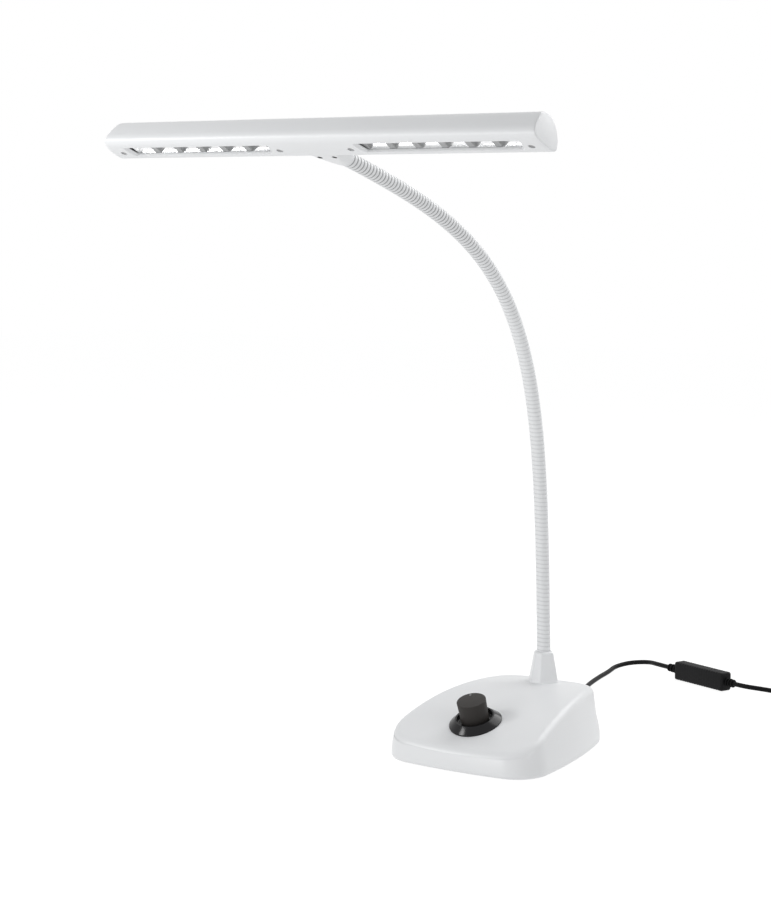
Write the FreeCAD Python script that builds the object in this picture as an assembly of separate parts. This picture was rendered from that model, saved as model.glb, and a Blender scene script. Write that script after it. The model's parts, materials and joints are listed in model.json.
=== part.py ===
import FreeCAD, Part
import math
import os

# Piano lamp: a weighted wedge-shaped base with a dimmer knob, a gooseneck, and a long lamp head
# with two rows of LED reflector cups. Its low-voltage lead lies on the table behind the base.
# Millimetres and degrees. Origin: the middle of the face that the base rests on.
# +X runs along the lamp head, -Y points at the player, +Z up.

# ---- base ----
front_corner = (63.3, -70.2)     # where the front and side arcs would meet
rear_corner = (39.2, 74.6)
front_bow = 5.2                  # how far each side of the outline bows out
side_bow = 6.2
rear_bow = 0.5
front_corner_radius = 25.5
rear_corner_radius = 30.8
top_radius = 242.5               # the top surface is part of a wide cylinder along X
top_centre_y = 37.7
top_crown = 42.7
wall_lean = 0.13             # of the walls, inwards, for each mm up
base_wall = 2.4
top_edge_bevel = 2.5
pad_thickness = 1.2
pad_inset = 4.0
plate_thickness = 1.6
plate_gap = 0.3
ballast_height = 18.0
ballast_front = -16.0
ballast_rear = 64.0
ballast_gap = 5.0
base_screw_places = ((-50.0, -50.0), (50.0, -50.0), (-33.0, 57.0), (33.0, 57.0))
base_screw_radius = 1.5
base_screw_head_radius = 2.9
base_screw_head_height = 1.5
base_screw_length = 9.0
base_boss_radius = 4.0

# ---- dimmer ----
knob_y = -42.1
knob_top_radius = 10.5
knob_foot_radius = 10.0
knob_top = 17.9              # above the base's top surface, along the knob's axis
knob_edge = 0.6
knob_lift = 0.6              # between the knob and the bezel's floor
knob_hollow_radius = 7.2
knob_hollow_depth = 5.0
knob_roof = 2.5
pointer_width = 1.5
pointer_length = 3.2
pointer_depth = 0.8
pointer_angle = 35.0         # from +Y, anticlockwise seen from above
bezel_radius = 19.0
bezel_rim = 0.8
bezel_height = 4.6
bezel_mouth_radius = 13.3
bezel_lip = 0.7
bezel_floor = 1.0
shaft_radius = 3.0
shaft_play = 0.05
bushing_radius = 3.75
hole_gap = 0.15
bushing_top = 5.2
dimmer_body_radius = 8.2
dimmer_body_length = 8.0
dimmer_nut_radius = 6.0
dimmer_nut_height = 1.8
board_width = 34.0
board_length = 24.0
board_thickness = 1.6

# ---- neck ----
neck_radius = 5.0
neck_foot_y = 50.6
neck_lean = 1.2              # lean at the foot, forward from upright
neck_sweep = 73.6            # how far the neck turns forward in all
neck_sweep_middle = 268.6    # length along the neck where it bends most
neck_sweep_softness = 54.0
neck_length = 484.0
neck_links = 12
joint_gap = 1.3
first_joint = 4.0            # length along the neck of the lowest joint
pin_radius = 3.0             # across the corners of the six-sided pin
pin_reach = 2.6              # past the joint, into the next link
sleeve_play = 0.75
curve_step = 1.0
socket_height = 20.4         # above the base's top surface
socket_foot_radius = 13.4    # across the corners
socket_top_radius = 7.9
socket_edge_radius = 1.4
socket_stem_radius = 6.0
socket_stem_length = 12.0
socket_depth = 15.0
fit_play = 0.05
socket_nut_radius = 9.5
socket_nut_height = 4.0
seat_radius = 11.5
seat_depth = 4.5
tip_length = 30.0            # of the neck inside the holder, past the last joint

# ---- head ----
head_ahead = 52.36           # from the end of the neck to the head's front edge
head_above = 14.12
head_pitch = 26.8            # slope of the underside, down towards the back
head_half_length = 162.4     # shell, at its front edge
end_slant = 0.2
head_arch_heading = 82.5     # at the front edge, from the underside
head_front_radius = 38.5     # the arch over the head: front, top and back
head_top_radius = 10.3
head_back_radius = 17.3
head_arch_turns = (24.2, 111.1, 45.5)
head_rear_radius = 4.0
underside_bow = 1.5
head_wall = 1.8
cover_thickness = 2.0
seam = 0.15
cap_thickness = 3.0
cap_chamfer = 1.6
cap_plug_length = 4.0
window_front = 7.0
window_rear = 18.6
window_start = 37.5          # front corner nearest the middle
window_start_slant = 3.5
window_end_margin = 12.2     # front corner nearest the end, from the end of the shell
window_end_slant = 4.4
window_bevel = 1.8
window_bevel_depth = 1.6
cover_screw_start = 28.6     # from the middle of the head
cover_screw_end_margin = 5.5
cover_screw_u = 14.2
screw_radius = 1.2
screw_head_radius = 2.1
screw_head_height = 1.4
screw_recess = 0.7
screw_length = 8.0
screw_boss_radius = 3.0
cups = 6
first_cup_overlap = 1.6      # past the window's end nearest the middle
last_cup_margin = 2.1        # short of the window's other end
reflector_margin = 1.0
reflector_front = 6.2
reflector_rear = 19.4
reflector_seat = 1.3
reflector_height = 6.6
cup_web = 0.7
cup_floor = (16.6, 10.4)
cup_floor_thickness = 1.0
led_size = 3.0
led_height = 0.9
led_board_thickness = 1.2
led_board_margin = 1.2

# ---- neck holder under the head ----
fairing_radius = 19.0        # of the round front of the fairing
fairing_u = 15.0             # its centre
fairing_depth = 4.9          # how far it stands out of the head's underside
holder_rear_lip = 1.0        # round the neck
holder_overlap = 7.4         # past the last joint, where the lip starts
holder_block_half_width = 9.5
holder_block_front = 13.0
holder_block_height = 13.0
holder_gap = 0.2
holder_screw_x = 6.5
holder_screw_u = 27.6        # behind the head's rear corner
holder_screw_seat = 3.6
holder_screw_radius = 0.85
holder_screw_head_radius = 1.8
holder_screw_head_height = 1.2
holder_screw_length = 6.0

# ---- lead ----
lead_radius = 1.9
lead_route = ((-22.0, 87.0, 6.5), (-22.0, 105.0, 6.5), (-25.0, 125.0, 3.6), (-32.0, 147.0, 2.1),
              (-42.0, 171.0, 2.0), (-52.0, 198.0, 2.0), (-61.0, 226.0, 2.0), (-67.6, 254.0, 2.0),
              (-71.2, 276.4, 2.2), (-75.7, 294.1, 2.8), (-70.0, 310.1, 4.3), (-53.7, 314.6, 6.0),
              (-40.0, 303.3, 7.6), (-25.0, 297.5, 7.6))
coupling_start = (-14.3, 293.4, 7.6)
coupling_end = (39.8, 272.6, 7.6)
coupling_height = 15.0
coupling_depth = 11.0
coupling_edge = 1.6
coupling_plug_share = 0.28
barrel_radius = 2.75
barrel_length = 9.5
barrel_play = 0.05
relief_radius = 3.6
relief_core_radius = 2.6
relief_hole_radius = 2.9
relief_rib = 1.6
relief_ribs = 3
supply_route = ((47.7, 269.5, 7.6), (58.9, 265.2, 7.6), (71.0, 269.5, 6.4), (85.0, 275.0, 4.6),
                (100.0, 277.5, 3.2), (114.0, 278.6, 2.4), (126.0, 279.2, 2.4))
coil_centre = (138.0, 256.0)
coil_radius = 21.0
coil_band = 5.8               # half the width of the ring of turns
coil_height = 15.5
adapter_route = ((151.0, 278.5, 13.6), (166.0, 281.5, 10.0), (180.0, 282.0, 7.6), (195.0, 280.0, 8.0),
                 (211.0, 278.0, 8.0))
adapter_size = (44.0, 30.0, 26.0)
adapter_edge = 4.0
adapter_pin_radius = 2.0
adapter_pin_length = 19.0
adapter_pin_spacing = 19.0
cord_exit_height = 6.5
grommet_flange = 1.6

V = FreeCAD.Vector
X_AXIS = V(1, 0, 0)
Y_AXIS = V(0, 1, 0)
Z_AXIS = V(0, 0, 1)
margin = 10.0                # how far a cutter runs past what it cuts
shapes = {}


# ---- small helpers ----
def line(start, end):
    return Part.LineSegment(start, end).toShape()


def face_of(points):
    return Part.Face(Part.makePolygon(points + points[:1]))


def turned(profile):
    # a solid of revolution about Z from (radius, height) pairs
    outline = [V(radius, 0, height) for radius, height in profile]
    return face_of(outline).revolve(V(0, 0, 0), Z_AXIS, 360)


def cylinder(radius, base, direction, length):
    return Part.makeCylinder(radius, length, base, direction)


def hexagon(radius, height):
    angles = [math.radians(60 * side) for side in range(6)]
    return [V(radius * math.cos(angle), radius * math.sin(angle), height) for angle in angles]


def tapered(lower, upper):
    # a solid with flat sides between two outlines that have the same corners
    faces = [face_of(lower[::-1]), face_of(upper)]
    for index in range(len(lower)):
        following = (index + 1) % len(lower)
        faces.append(face_of([lower[index], lower[following], upper[following], upper[index]]))
    solid = Part.Solid(Part.Shell(faces))
    if solid.Volume < 0:
        solid.reverse()
    return solid


def placed(shape, frame):
    moved = shape.copy()
    moved.Placement = frame.multiply(moved.Placement)
    return moved


def ring(centre, direction, radius):
    return Part.Wire(Part.Circle(centre, direction, radius).toShape())


def union(solids):
    return solids[0].multiFuse(solids[1:]).removeSplitter()


# ---- base ----
def side_circles():
    # centre, radius and outward direction of each bowed side
    front_x, front_y = front_corner
    rear_x, rear_y = rear_corner
    corners = [V(-front_x, front_y, 0), V(front_x, front_y, 0), V(rear_x, rear_y, 0),
               V(-rear_x, rear_y, 0)]
    circles = []
    bows = (front_bow, side_bow, rear_bow, side_bow)
    for start, end, bow in zip(corners, corners[1:] + corners[:1], bows):
        radius = ((end - start).Length ** 2 / 4 + bow ** 2) / (2 * bow)
        outward = (end - start).cross(Z_AXIS).normalize()
        circles.append(((start + end) / 2 + outward * (bow - radius), radius, outward))
    return circles


def rounding_centre(before, after, radius):
    # the centre of an arc of this radius that touches two neighbouring sides from inside
    between = after[0] - before[0]
    reach_before = before[1] - radius
    reach_after = after[1] - radius
    along = (between.Length ** 2 + reach_before ** 2 - reach_after ** 2) / (2 * between.Length)
    across = math.sqrt(reach_before ** 2 - along ** 2)
    between.normalize()
    sideways = between.cross(Z_AXIS)
    if sideways.dot(before[2] + after[2]) < 0:
        sideways = sideways * -1
    return before[0] + between * along + sideways * across


sides = side_circles()
corner_radii = (front_corner_radius, front_corner_radius, rear_corner_radius, rear_corner_radius)
corner_centres = [rounding_centre(sides[index - 1], sides[index], corner_radii[index]) for index in range(4)]


def base_outline(inset, height):
    # the base seen from above, moved inwards by inset: four bowed sides and four round corners
    edges = []
    for index in range(4):
        following = (index + 1) % 4
        centre, radius, outward = sides[index]
        next_centre, next_radius, _ = sides[following]
        corner = corner_centres[following]
        start = centre + (corner_centres[index] - centre).normalize() * (radius - inset)
        end = centre + (corner - centre).normalize() * (radius - inset)
        after = next_centre + (corner - next_centre).normalize() * (next_radius - inset)
        bulge = corner + (end + after - corner * 2).normalize() * (corner_radii[following] - inset)
        edges.append(Part.Arc(start, centre + outward * (radius - inset), end).toShape())
        edges.append(Part.Arc(end, bulge, after).toShape())
    outline = Part.Face(Part.Wire(edges))
    outline.translate(V(0, 0, height))
    return outline


def top_height(y):
    return top_crown - top_radius + math.sqrt(top_radius ** 2 - (y - top_centre_y) ** 2)


def wedge(inset, drop, floor):
    # the base's outer form, or the same form moved inwards by a wall
    axis_point = V(-front_corner[0] - margin, top_centre_y, top_crown - top_radius)
    roof = cylinder(top_radius - drop, axis_point, X_AXIS, 2 * (front_corner[0] + margin))
    heights = (floor, top_crown + margin)
    rings = [base_outline(inset + wall_lean * height, height).OuterWire for height in heights]
    return Part.makeLoft(rings, True, True).common(roof)


def edges_above(shape, height):
    return [edge for edge in shape.Edges if edge.BoundBox.ZMin > height]


def edges_along(shape, length):
    # the straight edges along X
    return [edge for edge in shape.Edges if edge.BoundBox.XLength > length - fit_play]


plate_bottom = pad_thickness
plate_top = plate_bottom + plate_thickness
knob_slope = math.degrees(math.asin((top_centre_y - knob_y) / top_radius))
knob_origin = V(0, knob_y, top_height(knob_y))
knob_frame = FreeCAD.Placement(knob_origin, FreeCAD.Rotation(X_AXIS, knob_slope))
socket_base = V(0, neck_foot_y, top_height(neck_foot_y))
seat_height = socket_base.z - seat_depth
cord_exit = V(lead_route[0][0], rear_corner[1] - wall_lean * cord_exit_height, cord_exit_height)


plain_form = wedge(0, 0, pad_thickness)
outer_form = plain_form.makeChamfer(top_edge_bevel, edges_above(plain_form, plate_top))


def base_shell():
    shell = outer_form.cut(wedge(base_wall, base_wall, pad_thickness - margin))
    posts = [cylinder(base_boss_radius, V(x, y, plate_top), Z_AXIS, top_height(y))
             for x, y in base_screw_places]
    posts.append(cylinder(seat_radius, V(0, neck_foot_y, seat_height), Z_AXIS, top_height(neck_foot_y)))
    inside = wedge(base_wall / 2, base_wall / 2, plate_top)
    shell = union([shell] + [post.common(inside) for post in posts])
    for x, y in base_screw_places:
        pilot = V(x, y, plate_top - margin)
        shell = shell.cut(cylinder(base_screw_radius - hole_gap, pilot, Z_AXIS, margin + base_screw_length))
    stem_foot = V(0, neck_foot_y, seat_height - margin)
    stem_hole = cylinder(socket_stem_radius + hole_gap, stem_foot, Z_AXIS, 4 * margin)
    bushing_hole = cylinder(bushing_radius + hole_gap, V(0, 0, -margin), Z_AXIS, 2 * margin)
    cord_hole = cylinder(relief_hole_radius, cord_exit - Y_AXIS * margin, Y_AXIS, 2 * margin)
    return shell.cut(stem_hole).cut(placed(bushing_hole, knob_frame)).cut(cord_hole)


def base_plate():
    inset = base_wall + plate_gap + wall_lean * plate_top
    plate = base_outline(inset, plate_bottom).extrude(V(0, 0, plate_thickness))
    for x, y in base_screw_places:
        plate = plate.cut(cylinder(base_screw_radius + hole_gap, V(x, y, 0), Z_AXIS, margin))
        countersink = Part.makeCone(base_screw_head_radius, base_screw_radius, base_screw_head_height,
                                    V(x, y, plate_bottom), Z_AXIS)
        plate = plate.cut(countersink)
    return plate


def grip_pad():
    pad = base_outline(pad_inset, 0).extrude(V(0, 0, pad_thickness))
    for x, y in base_screw_places:
        pad = pad.cut(cylinder(base_screw_head_radius + hole_gap, V(x, y, -margin), Z_AXIS, 2 * margin))
    return pad


def base_screws():
    screws = []
    shank_length = base_screw_length - base_screw_head_height
    for x, y in base_screw_places:
        head = Part.makeCone(base_screw_head_radius, base_screw_radius, base_screw_head_height,
                             V(x, y, plate_bottom), Z_AXIS)
        shank_start = V(x, y, plate_bottom + base_screw_head_height)
        shank = cylinder(base_screw_radius - hole_gap, shank_start, Z_AXIS, shank_length)
        screws.append(head.fuse(shank))
    return Part.makeCompound(screws)


def ballast():
    inset = base_wall + ballast_gap + wall_lean * (plate_top + ballast_height)
    block = base_outline(inset, plate_top).extrude(V(0, 0, ballast_height))
    half_width = front_corner[0]
    span = Part.makeBox(2 * half_width, ballast_rear - ballast_front, 2 * ballast_height,
                        V(-half_width, ballast_front, plate_top))
    block = block.common(span)
    for x, y in base_screw_places:
        block = block.cut(cylinder(base_boss_radius + plate_gap, V(x, y, 0), Z_AXIS, 4 * margin))
    return block


# ---- dimmer ----
def bezel():
    cone = turned(((bezel_radius, -base_wall), (bezel_radius, bezel_rim),
                   (bezel_mouth_radius + bezel_lip, bezel_height), (bezel_mouth_radius, bezel_height),
                   (bezel_mouth_radius - bezel_lip, bezel_floor), (bushing_radius + hole_gap, bezel_floor),
                   (bushing_radius + hole_gap, -base_wall)))
    return placed(cone, knob_frame).cut(outer_form)


def dimmer():
    underside = -base_wall - hole_gap
    bottom = underside - dimmer_body_length
    bore = shaft_radius + shaft_play
    body = turned(((0, bottom), (dimmer_body_radius, bottom), (dimmer_body_radius, underside),
                   (bushing_radius, underside), (bushing_radius, bushing_top), (bore, bushing_top),
                   (bore, bottom + base_wall), (0, bottom + base_wall)))
    return placed(body, knob_frame)


def dimmer_nut():
    nut = face_of(hexagon(dimmer_nut_radius, bezel_floor)).extrude(V(0, 0, dimmer_nut_height))
    return placed(nut.cut(cylinder(bushing_radius, V(0, 0, 0), Z_AXIS, margin)), knob_frame)


def dimmer_board():
    top = -base_wall - hole_gap - dimmer_body_length
    board = Part.makeBox(board_width, board_length, board_thickness,
                         V(-board_width / 2, -board_length / 2, top - board_thickness))
    return placed(board, knob_frame)


def dimmer_shaft():
    bottom = -dimmer_body_length + shaft_play - hole_gap
    return placed(cylinder(shaft_radius, V(0, 0, bottom), Z_AXIS, knob_top - knob_roof - bottom), knob_frame)


def pointer_form():
    reach = knob_top_radius - knob_edge
    mark = Part.makeBox(pointer_width, pointer_length, pointer_depth,
                        V(-pointer_width / 2, reach - pointer_length, knob_top - pointer_depth))
    mark.rotate(V(0, 0, 0), Z_AXIS, pointer_angle)
    return mark


def knob():
    foot = bezel_floor + knob_lift
    body = turned(((knob_hollow_radius, foot), (knob_foot_radius, foot),
                   (knob_top_radius, knob_top - knob_edge), (knob_top_radius - knob_edge, knob_top),
                   (0, knob_top), (0, knob_top - knob_roof),
                   (shaft_radius, knob_top - knob_roof), (shaft_radius, foot + knob_hollow_depth),
                   (knob_hollow_radius, foot + knob_hollow_depth)))
    return placed(body.cut(pointer_form()), knob_frame)


# ---- neck ----
def neck_angle(length):
    share = 1 / (1 + math.exp(-(length - neck_sweep_middle) / neck_sweep_softness))
    return math.radians(neck_lean + neck_sweep * share)


def neck_direction(length):
    angle = neck_angle(length)
    return V(0, -math.sin(angle), math.cos(angle))


def neck_point(length):
    # walks along the neck from the top of its socket
    point = V(0, neck_foot_y, socket_base.z + socket_height)
    steps = max(1, round(abs(length) / curve_step))
    step = length / steps
    for index in range(steps):
        point = point + neck_direction((index + 0.5) * step) * step
    return point


def joint_length(index):
    return first_joint + (neck_length - 2 * first_joint) * index / neck_links


def neck_tube(start, end, radius):
    # a bent piece of neck, as round sections half a piece apart
    middle = (start + end) / 2
    rings = [ring(neck_point(length), neck_direction(length), radius) for length in (start, middle, end)]
    return Part.makeLoft(rings, True, True)


def neck_prism(index, radius, start, end):
    # a six-sided prism across a joint, from start to end as lengths past the joint
    prism = face_of(hexagon(radius, start)).extrude(V(0, 0, end - start))
    joint = joint_length(index)
    frame = FreeCAD.Placement(neck_point(joint), FreeCAD.Rotation(Z_AXIS, neck_direction(joint)))
    return placed(prism, frame)


def joint_pin(index):
    # the narrow end that a link reaches into its neighbour with
    return neck_prism(index, pin_radius, -joint_gap / 2 - sleeve_play, pin_reach)


def joint_sleeve(index):
    return neck_prism(index, pin_radius + sleeve_play, 0, pin_reach + sleeve_play)


def neck_foot():
    top = joint_length(0) - joint_gap / 2
    return neck_tube(-socket_depth, top, neck_radius).fuse(joint_pin(0))


def neck_link(index):
    bottom = joint_length(index - 1) + joint_gap / 2
    top = joint_length(index) - joint_gap / 2
    return neck_tube(bottom, top, neck_radius).cut(joint_sleeve(index - 1)).fuse(joint_pin(index))


def neck_tip():
    bottom = joint_length(neck_links) + joint_gap / 2
    return neck_tube(bottom, neck_length + tip_length, neck_radius).cut(joint_sleeve(neck_links))


def neck_socket():
    top = socket_base.z + socket_height
    foot = seat_height
    spread = (socket_foot_radius - socket_top_radius) / socket_height
    bottom_radius = socket_foot_radius + spread * seat_depth
    tower = tapered(hexagon(bottom_radius, foot), hexagon(socket_top_radius, top))
    corners = [edge for edge in tower.Edges if edge.BoundBox.ZLength > socket_height / 2]
    tower = tower.makeFillet(socket_edge_radius, corners)
    rim = edges_above(tower, top - socket_edge_radius / 2)
    tower = tower.makeChamfer(socket_edge_radius / 2, rim)
    tower.translate(V(0, neck_foot_y, 0))
    stem_foot = V(0, neck_foot_y, top - socket_depth - socket_stem_length)
    stem = cylinder(socket_stem_radius, stem_foot, Z_AXIS, socket_depth)
    bore = neck_tube(-socket_depth, margin, neck_radius + fit_play)
    stem = stem.cut(cylinder(neck_radius - hole_gap, V(0, neck_foot_y, 0), Z_AXIS, top))
    return tower.cut(outer_form).fuse(stem).cut(bore)


def socket_nut():
    nut = face_of(hexagon(socket_nut_radius, 0)).extrude(V(0, 0, socket_nut_height))
    nut.translate(V(0, neck_foot_y, seat_height - socket_nut_height))
    return nut.cut(cylinder(socket_stem_radius, V(0, neck_foot_y, 0), Z_AXIS, seat_height))


# ---- head, in its own frame: x along it, u from the front edge back along the underside, n inwards ----
head_origin = neck_point(neck_length) + V(0, -head_ahead, head_above)
head_frame = FreeCAD.Placement(head_origin, FreeCAD.Rotation(X_AXIS, -head_pitch))
window_near = (window_start, window_start + window_start_slant)
window_far = (head_half_length - window_end_margin, head_half_length - window_end_margin - window_end_slant)
outer_screw_x = head_half_length - cover_screw_end_margin
cover_screw_places = (-outer_screw_x, -cover_screw_start, cover_screw_start, outer_screw_x)
reflector_first = window_near[0] - first_cup_overlap
cup_pitch = (window_far[0] - last_cup_margin - reflector_first) / cups


def arch_arcs(inset):
    # the arcs from the front edge over the top towards the rear corner, and the corner's centre
    heading = math.radians(head_arch_heading)
    inward = V(0, math.sin(heading), -math.cos(heading))
    point = inward * inset
    arcs = []
    for radius, turn in zip((head_front_radius, head_top_radius, head_back_radius), head_arch_turns):
        centre = point + inward * (radius - inset)
        spoke = point - centre
        middle = centre + FreeCAD.Rotation(X_AXIS, -turn / 2).multVec(spoke)
        rotation = FreeCAD.Rotation(X_AXIS, -turn)
        point = centre + rotation.multVec(spoke)
        inward = rotation.multVec(inward)
        arcs.append(Part.Arc(centre + spoke, middle, point).toShape())
    return arcs, point, point + inward * (head_rear_radius - inset)


corner_centre = arch_arcs(0)[2]
chord = corner_centre.y + math.sqrt(head_rear_radius ** 2 - corner_centre.z ** 2)
bow_radius = (chord ** 2 / 4 + underside_bow ** 2) / (2 * underside_bow)
bow_centre = V(0, chord / 2, bow_radius - underside_bow)
head_reach = head_half_length + margin


def head_profile():
    arcs, last, centre = arch_arcs(0)
    rear = V(0, chord, 0)
    middle = centre + (last + rear - centre * 2).normalize() * head_rear_radius
    corner = Part.Arc(last, middle, rear).toShape()
    bow = Part.Arc(rear, V(0, chord / 2, -underside_bow), V(0, 0, 0)).toShape()
    return Part.Face(Part.Wire(arcs + [corner, bow]))


def inner_profile(inset):
    # the same arch moved inwards and left open at the underside
    arcs, rear, _ = arch_arcs(inset)
    front = arcs[0].Vertexes[0].Point
    low_rear = V(0, rear.y, -margin)
    low_front = V(0, front.y, -margin)
    rest = [line(rear, low_rear), line(low_rear, low_front), line(low_front, front)]
    return Part.Face(Part.Wire(arcs + rest))


def along_head(section):
    bar = section.extrude(V(2 * head_reach, 0, 0))
    bar.translate(V(-head_reach, 0, 0))
    return bar


def above_cover(rise):
    # everything more than this far inside the bowed underside
    return cylinder(bow_radius - rise, bow_centre - V(head_reach, 0, 0), X_AXIS, 2 * head_reach)


def slanted_slab(start, end):
    # the space between two slanted end planes, on the +X side; start and end are at the front edge
    rise = 4 * margin
    corners = [V(start + end_slant * rise, 0, -rise), V(end + end_slant * rise, 0, -rise),
               V(end - end_slant * rise, 0, rise), V(start - end_slant * rise, 0, rise)]
    slab = face_of(corners).extrude(V(0, 2 * rise, 0))
    slab.translate(V(0, -rise, 0))
    return placed(slab, FreeCAD.Placement(V(0, 0, 0), head_frame.Rotation.inverted()))


def mirrored(shape):
    return shape.mirror(V(0, 0, 0), X_AXIS)


def between_ends(bar, reach):
    end = slanted_slab(reach, reach + 4 * margin)
    return bar.cut(end).cut(mirrored(end))


solid_bar = along_head(head_profile())
hollow_bar = along_head(inner_profile(head_wall))


def screw_axis(x, start, radius, length):
    return cylinder(radius, V(x, cover_screw_u, start), Z_AXIS, length)


def holder_room(gap):
    # the notch in the head's rear lower corner that the neck holder fills
    half = holder_block_half_width + gap
    return Part.makeBox(2 * half, 3 * margin, margin + holder_block_height + gap,
                        V(-half, holder_block_front - gap, -margin))


def head_shell():
    shell = solid_bar.cut(hollow_bar).common(above_cover(cover_thickness + seam))
    shell = between_ends(shell, head_half_length)
    bosses = [screw_axis(x, cover_thickness, screw_boss_radius, 2 * margin) for x in cover_screw_places]
    room = solid_bar.common(above_cover(cover_thickness + seam))
    shell = union([shell] + [boss.common(room) for boss in bosses])
    for x in cover_screw_places:
        shell = shell.cut(screw_axis(x, -margin, screw_radius - hole_gap, margin + screw_length))
    return shell.cut(holder_room(holder_gap))


def window_outline(side, shrink, height):
    near_front, near_rear = window_near
    far_front, far_rear = window_far
    return [V(side * (near_front + shrink), window_front, height),
            V(side * (far_front - shrink), window_front, height),
            V(side * (far_rear - shrink), window_rear, height),
            V(side * (near_rear + shrink), window_rear, height)]


def window_cutter(side):
    outside = window_outline(side, 0, -underside_bow)
    throat = window_outline(side, window_bevel, -underside_bow + window_bevel_depth)
    bevel = tapered(outside, throat)
    straight = face_of(throat).extrude(V(0, 0, margin))
    clear = face_of(outside).extrude(V(0, 0, -margin))
    return bevel.fuse(straight).fuse(clear)


def head_cover():
    cover = solid_bar.cut(above_cover(cover_thickness))
    cover = between_ends(cover, head_half_length)
    for side in (-1, 1):
        cover = cover.cut(window_cutter(side))
    for x in cover_screw_places:
        cover = cover.cut(screw_axis(x, -margin, screw_radius + hole_gap, 2 * margin))
        seat = screw_recess + screw_head_height - underside_bow
        cover = cover.cut(screw_axis(x, seat - margin, screw_head_radius + hole_gap, margin))
    return cover.cut(holder_room(holder_gap))


def cover_screws():
    screws = []
    seat = screw_recess - underside_bow
    shank_length = screw_length - screw_head_height
    for x in cover_screw_places:
        head = screw_axis(x, seat, screw_head_radius, screw_head_height)
        shank = screw_axis(x, seat + screw_head_height, screw_radius - hole_gap, shank_length)
        screws.append(head.fuse(shank))
    return Part.makeCompound(screws)


def end_cap():
    cap = solid_bar.common(slanted_slab(head_half_length, head_half_length + cap_thickness))
    ends = [face for face in cap.Faces if abs(face.normalAt(0, 0).x) > 0.9]
    outer_face = max(ends, key=lambda face: face.CenterOfMass.x)
    cap = cap.makeChamfer(cap_chamfer, outer_face.Edges)
    plug = along_head(inner_profile(head_wall + seam)).common(above_cover(cover_thickness + seam))
    plug = plug.common(slanted_slab(head_half_length - cap_plug_length, head_half_length))
    boss_room = screw_axis(cover_screw_places[-1], 0, screw_boss_radius + seam, 3 * margin)
    return cap.fuse(plug.cut(boss_room))


def cup_centre(index):
    return reflector_first + (index + 0.5) * cup_pitch


def box_outline(centre_x, half_x, front, rear, height):
    return [V(centre_x - half_x, front, height), V(centre_x + half_x, front, height),
            V(centre_x + half_x, rear, height), V(centre_x - half_x, rear, height)]


def reflector():
    length = cups * cup_pitch + 2 * reflector_margin
    block = Part.makeBox(length, reflector_rear - reflector_front, reflector_height,
                         V(reflector_first - reflector_margin, reflector_front, reflector_seat))
    middle = (reflector_front + reflector_rear) / 2
    floor_height = reflector_seat + reflector_height - cup_floor_thickness
    half = led_size / 2 + hole_gap
    for index in range(cups):
        x = cup_centre(index)
        mouth = box_outline(x, (cup_pitch - cup_web) / 2, reflector_front + cup_web,
                            reflector_rear - cup_web, reflector_seat)
        floor = box_outline(x, cup_floor[0] / 2, middle - cup_floor[1] / 2,
                            middle + cup_floor[1] / 2, floor_height)
        chip_hole = Part.makeBox(2 * half, 2 * half, margin,
                                 V(x - half, middle - half, floor_height - hole_gap))
        block = block.cut(tapered(mouth, floor)).cut(chip_hole)
    return block


def led_board():
    length = cups * cup_pitch + 2 * reflector_margin
    front = reflector_front + led_board_margin
    return Part.makeBox(length, reflector_rear - led_board_margin - front, led_board_thickness,
                        V(reflector_first - reflector_margin, front, reflector_seat + reflector_height))


def led_chips():
    front = (reflector_front + reflector_rear - led_size) / 2
    bottom = reflector_seat + reflector_height - led_height
    corners = [V(cup_centre(index) - led_size / 2, front, bottom) for index in range(cups)]
    return Part.makeCompound([Part.makeBox(led_size, led_size, led_height, corner) for corner in corners])


# ---- neck holder ----
def fairing():
    # a cone round the neck that runs into a ball, most of which lies inside the head
    lip = neck_radius + holder_rear_lip
    lip_start = neck_length + holder_overlap
    start = neck_point(lip_start)
    centre = head_frame.multVec(V(0, fairing_u, fairing_radius - fairing_depth))
    reach = (centre - start).Length
    # where the cone's side touches the ball
    slope = math.asin((fairing_radius - lip) / reach)
    touch = V(fairing_radius * math.cos(slope), 0, reach - fairing_radius * math.sin(slope))
    halfway = (slope + math.pi / 2) / 2
    crown = V(0, 0, reach) + V(math.cos(halfway - slope), 0, math.sin(halfway - slope)) * fairing_radius
    tip = V(0, 0, reach + fairing_radius)
    foot = V(0, 0, 0)
    edge = V(lip, 0, 0)
    ball = Part.Arc(touch, crown, tip).toShape()
    outline = Part.Wire([line(foot, edge), line(edge, touch), ball, line(tip, foot)])
    body = placed(Part.Face(outline).revolve(V(0, 0, 0), Z_AXIS, 360),
                  FreeCAD.Placement(start, FreeCAD.Rotation(Z_AXIS, centre - start)))
    # the cone's upper side stays level with the lip round the neck
    below = Part.makeBox(4 * fairing_radius, 4 * fairing_radius, 4 * fairing_radius,
                         V(-2 * fairing_radius, -4 * fairing_radius + lip, -fairing_radius))
    lean = FreeCAD.Rotation(X_AXIS, math.degrees(neck_angle(lip_start)))
    return body.common(placed(below, FreeCAD.Placement(start, lean)))


def neck_holder():
    # the fairing below and behind the head, and a block that fills the notch
    above = Part.makeBox(2 * head_reach, chord + margin, 4 * margin, V(-head_reach, -margin, 0))
    inside = placed(above.fuse(solid_bar), head_frame)
    block = placed(holder_room(0).common(solid_bar), head_frame)
    holder = fairing().cut(inside).fuse(block)
    holder = holder.cut(neck_tube(neck_length - margin, neck_length + tip_length, neck_radius + fit_play))
    for side in (-1, 1):
        pilot = holder_screw_axis(side, holder_screw_seat, holder_screw_radius, holder_screw_length)
        recess = holder_screw_axis(side, holder_screw_seat - 2 * margin,
                                   holder_screw_head_radius + hole_gap, 2 * margin)
        holder = holder.cut(pilot).cut(recess)
    return holder


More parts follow.
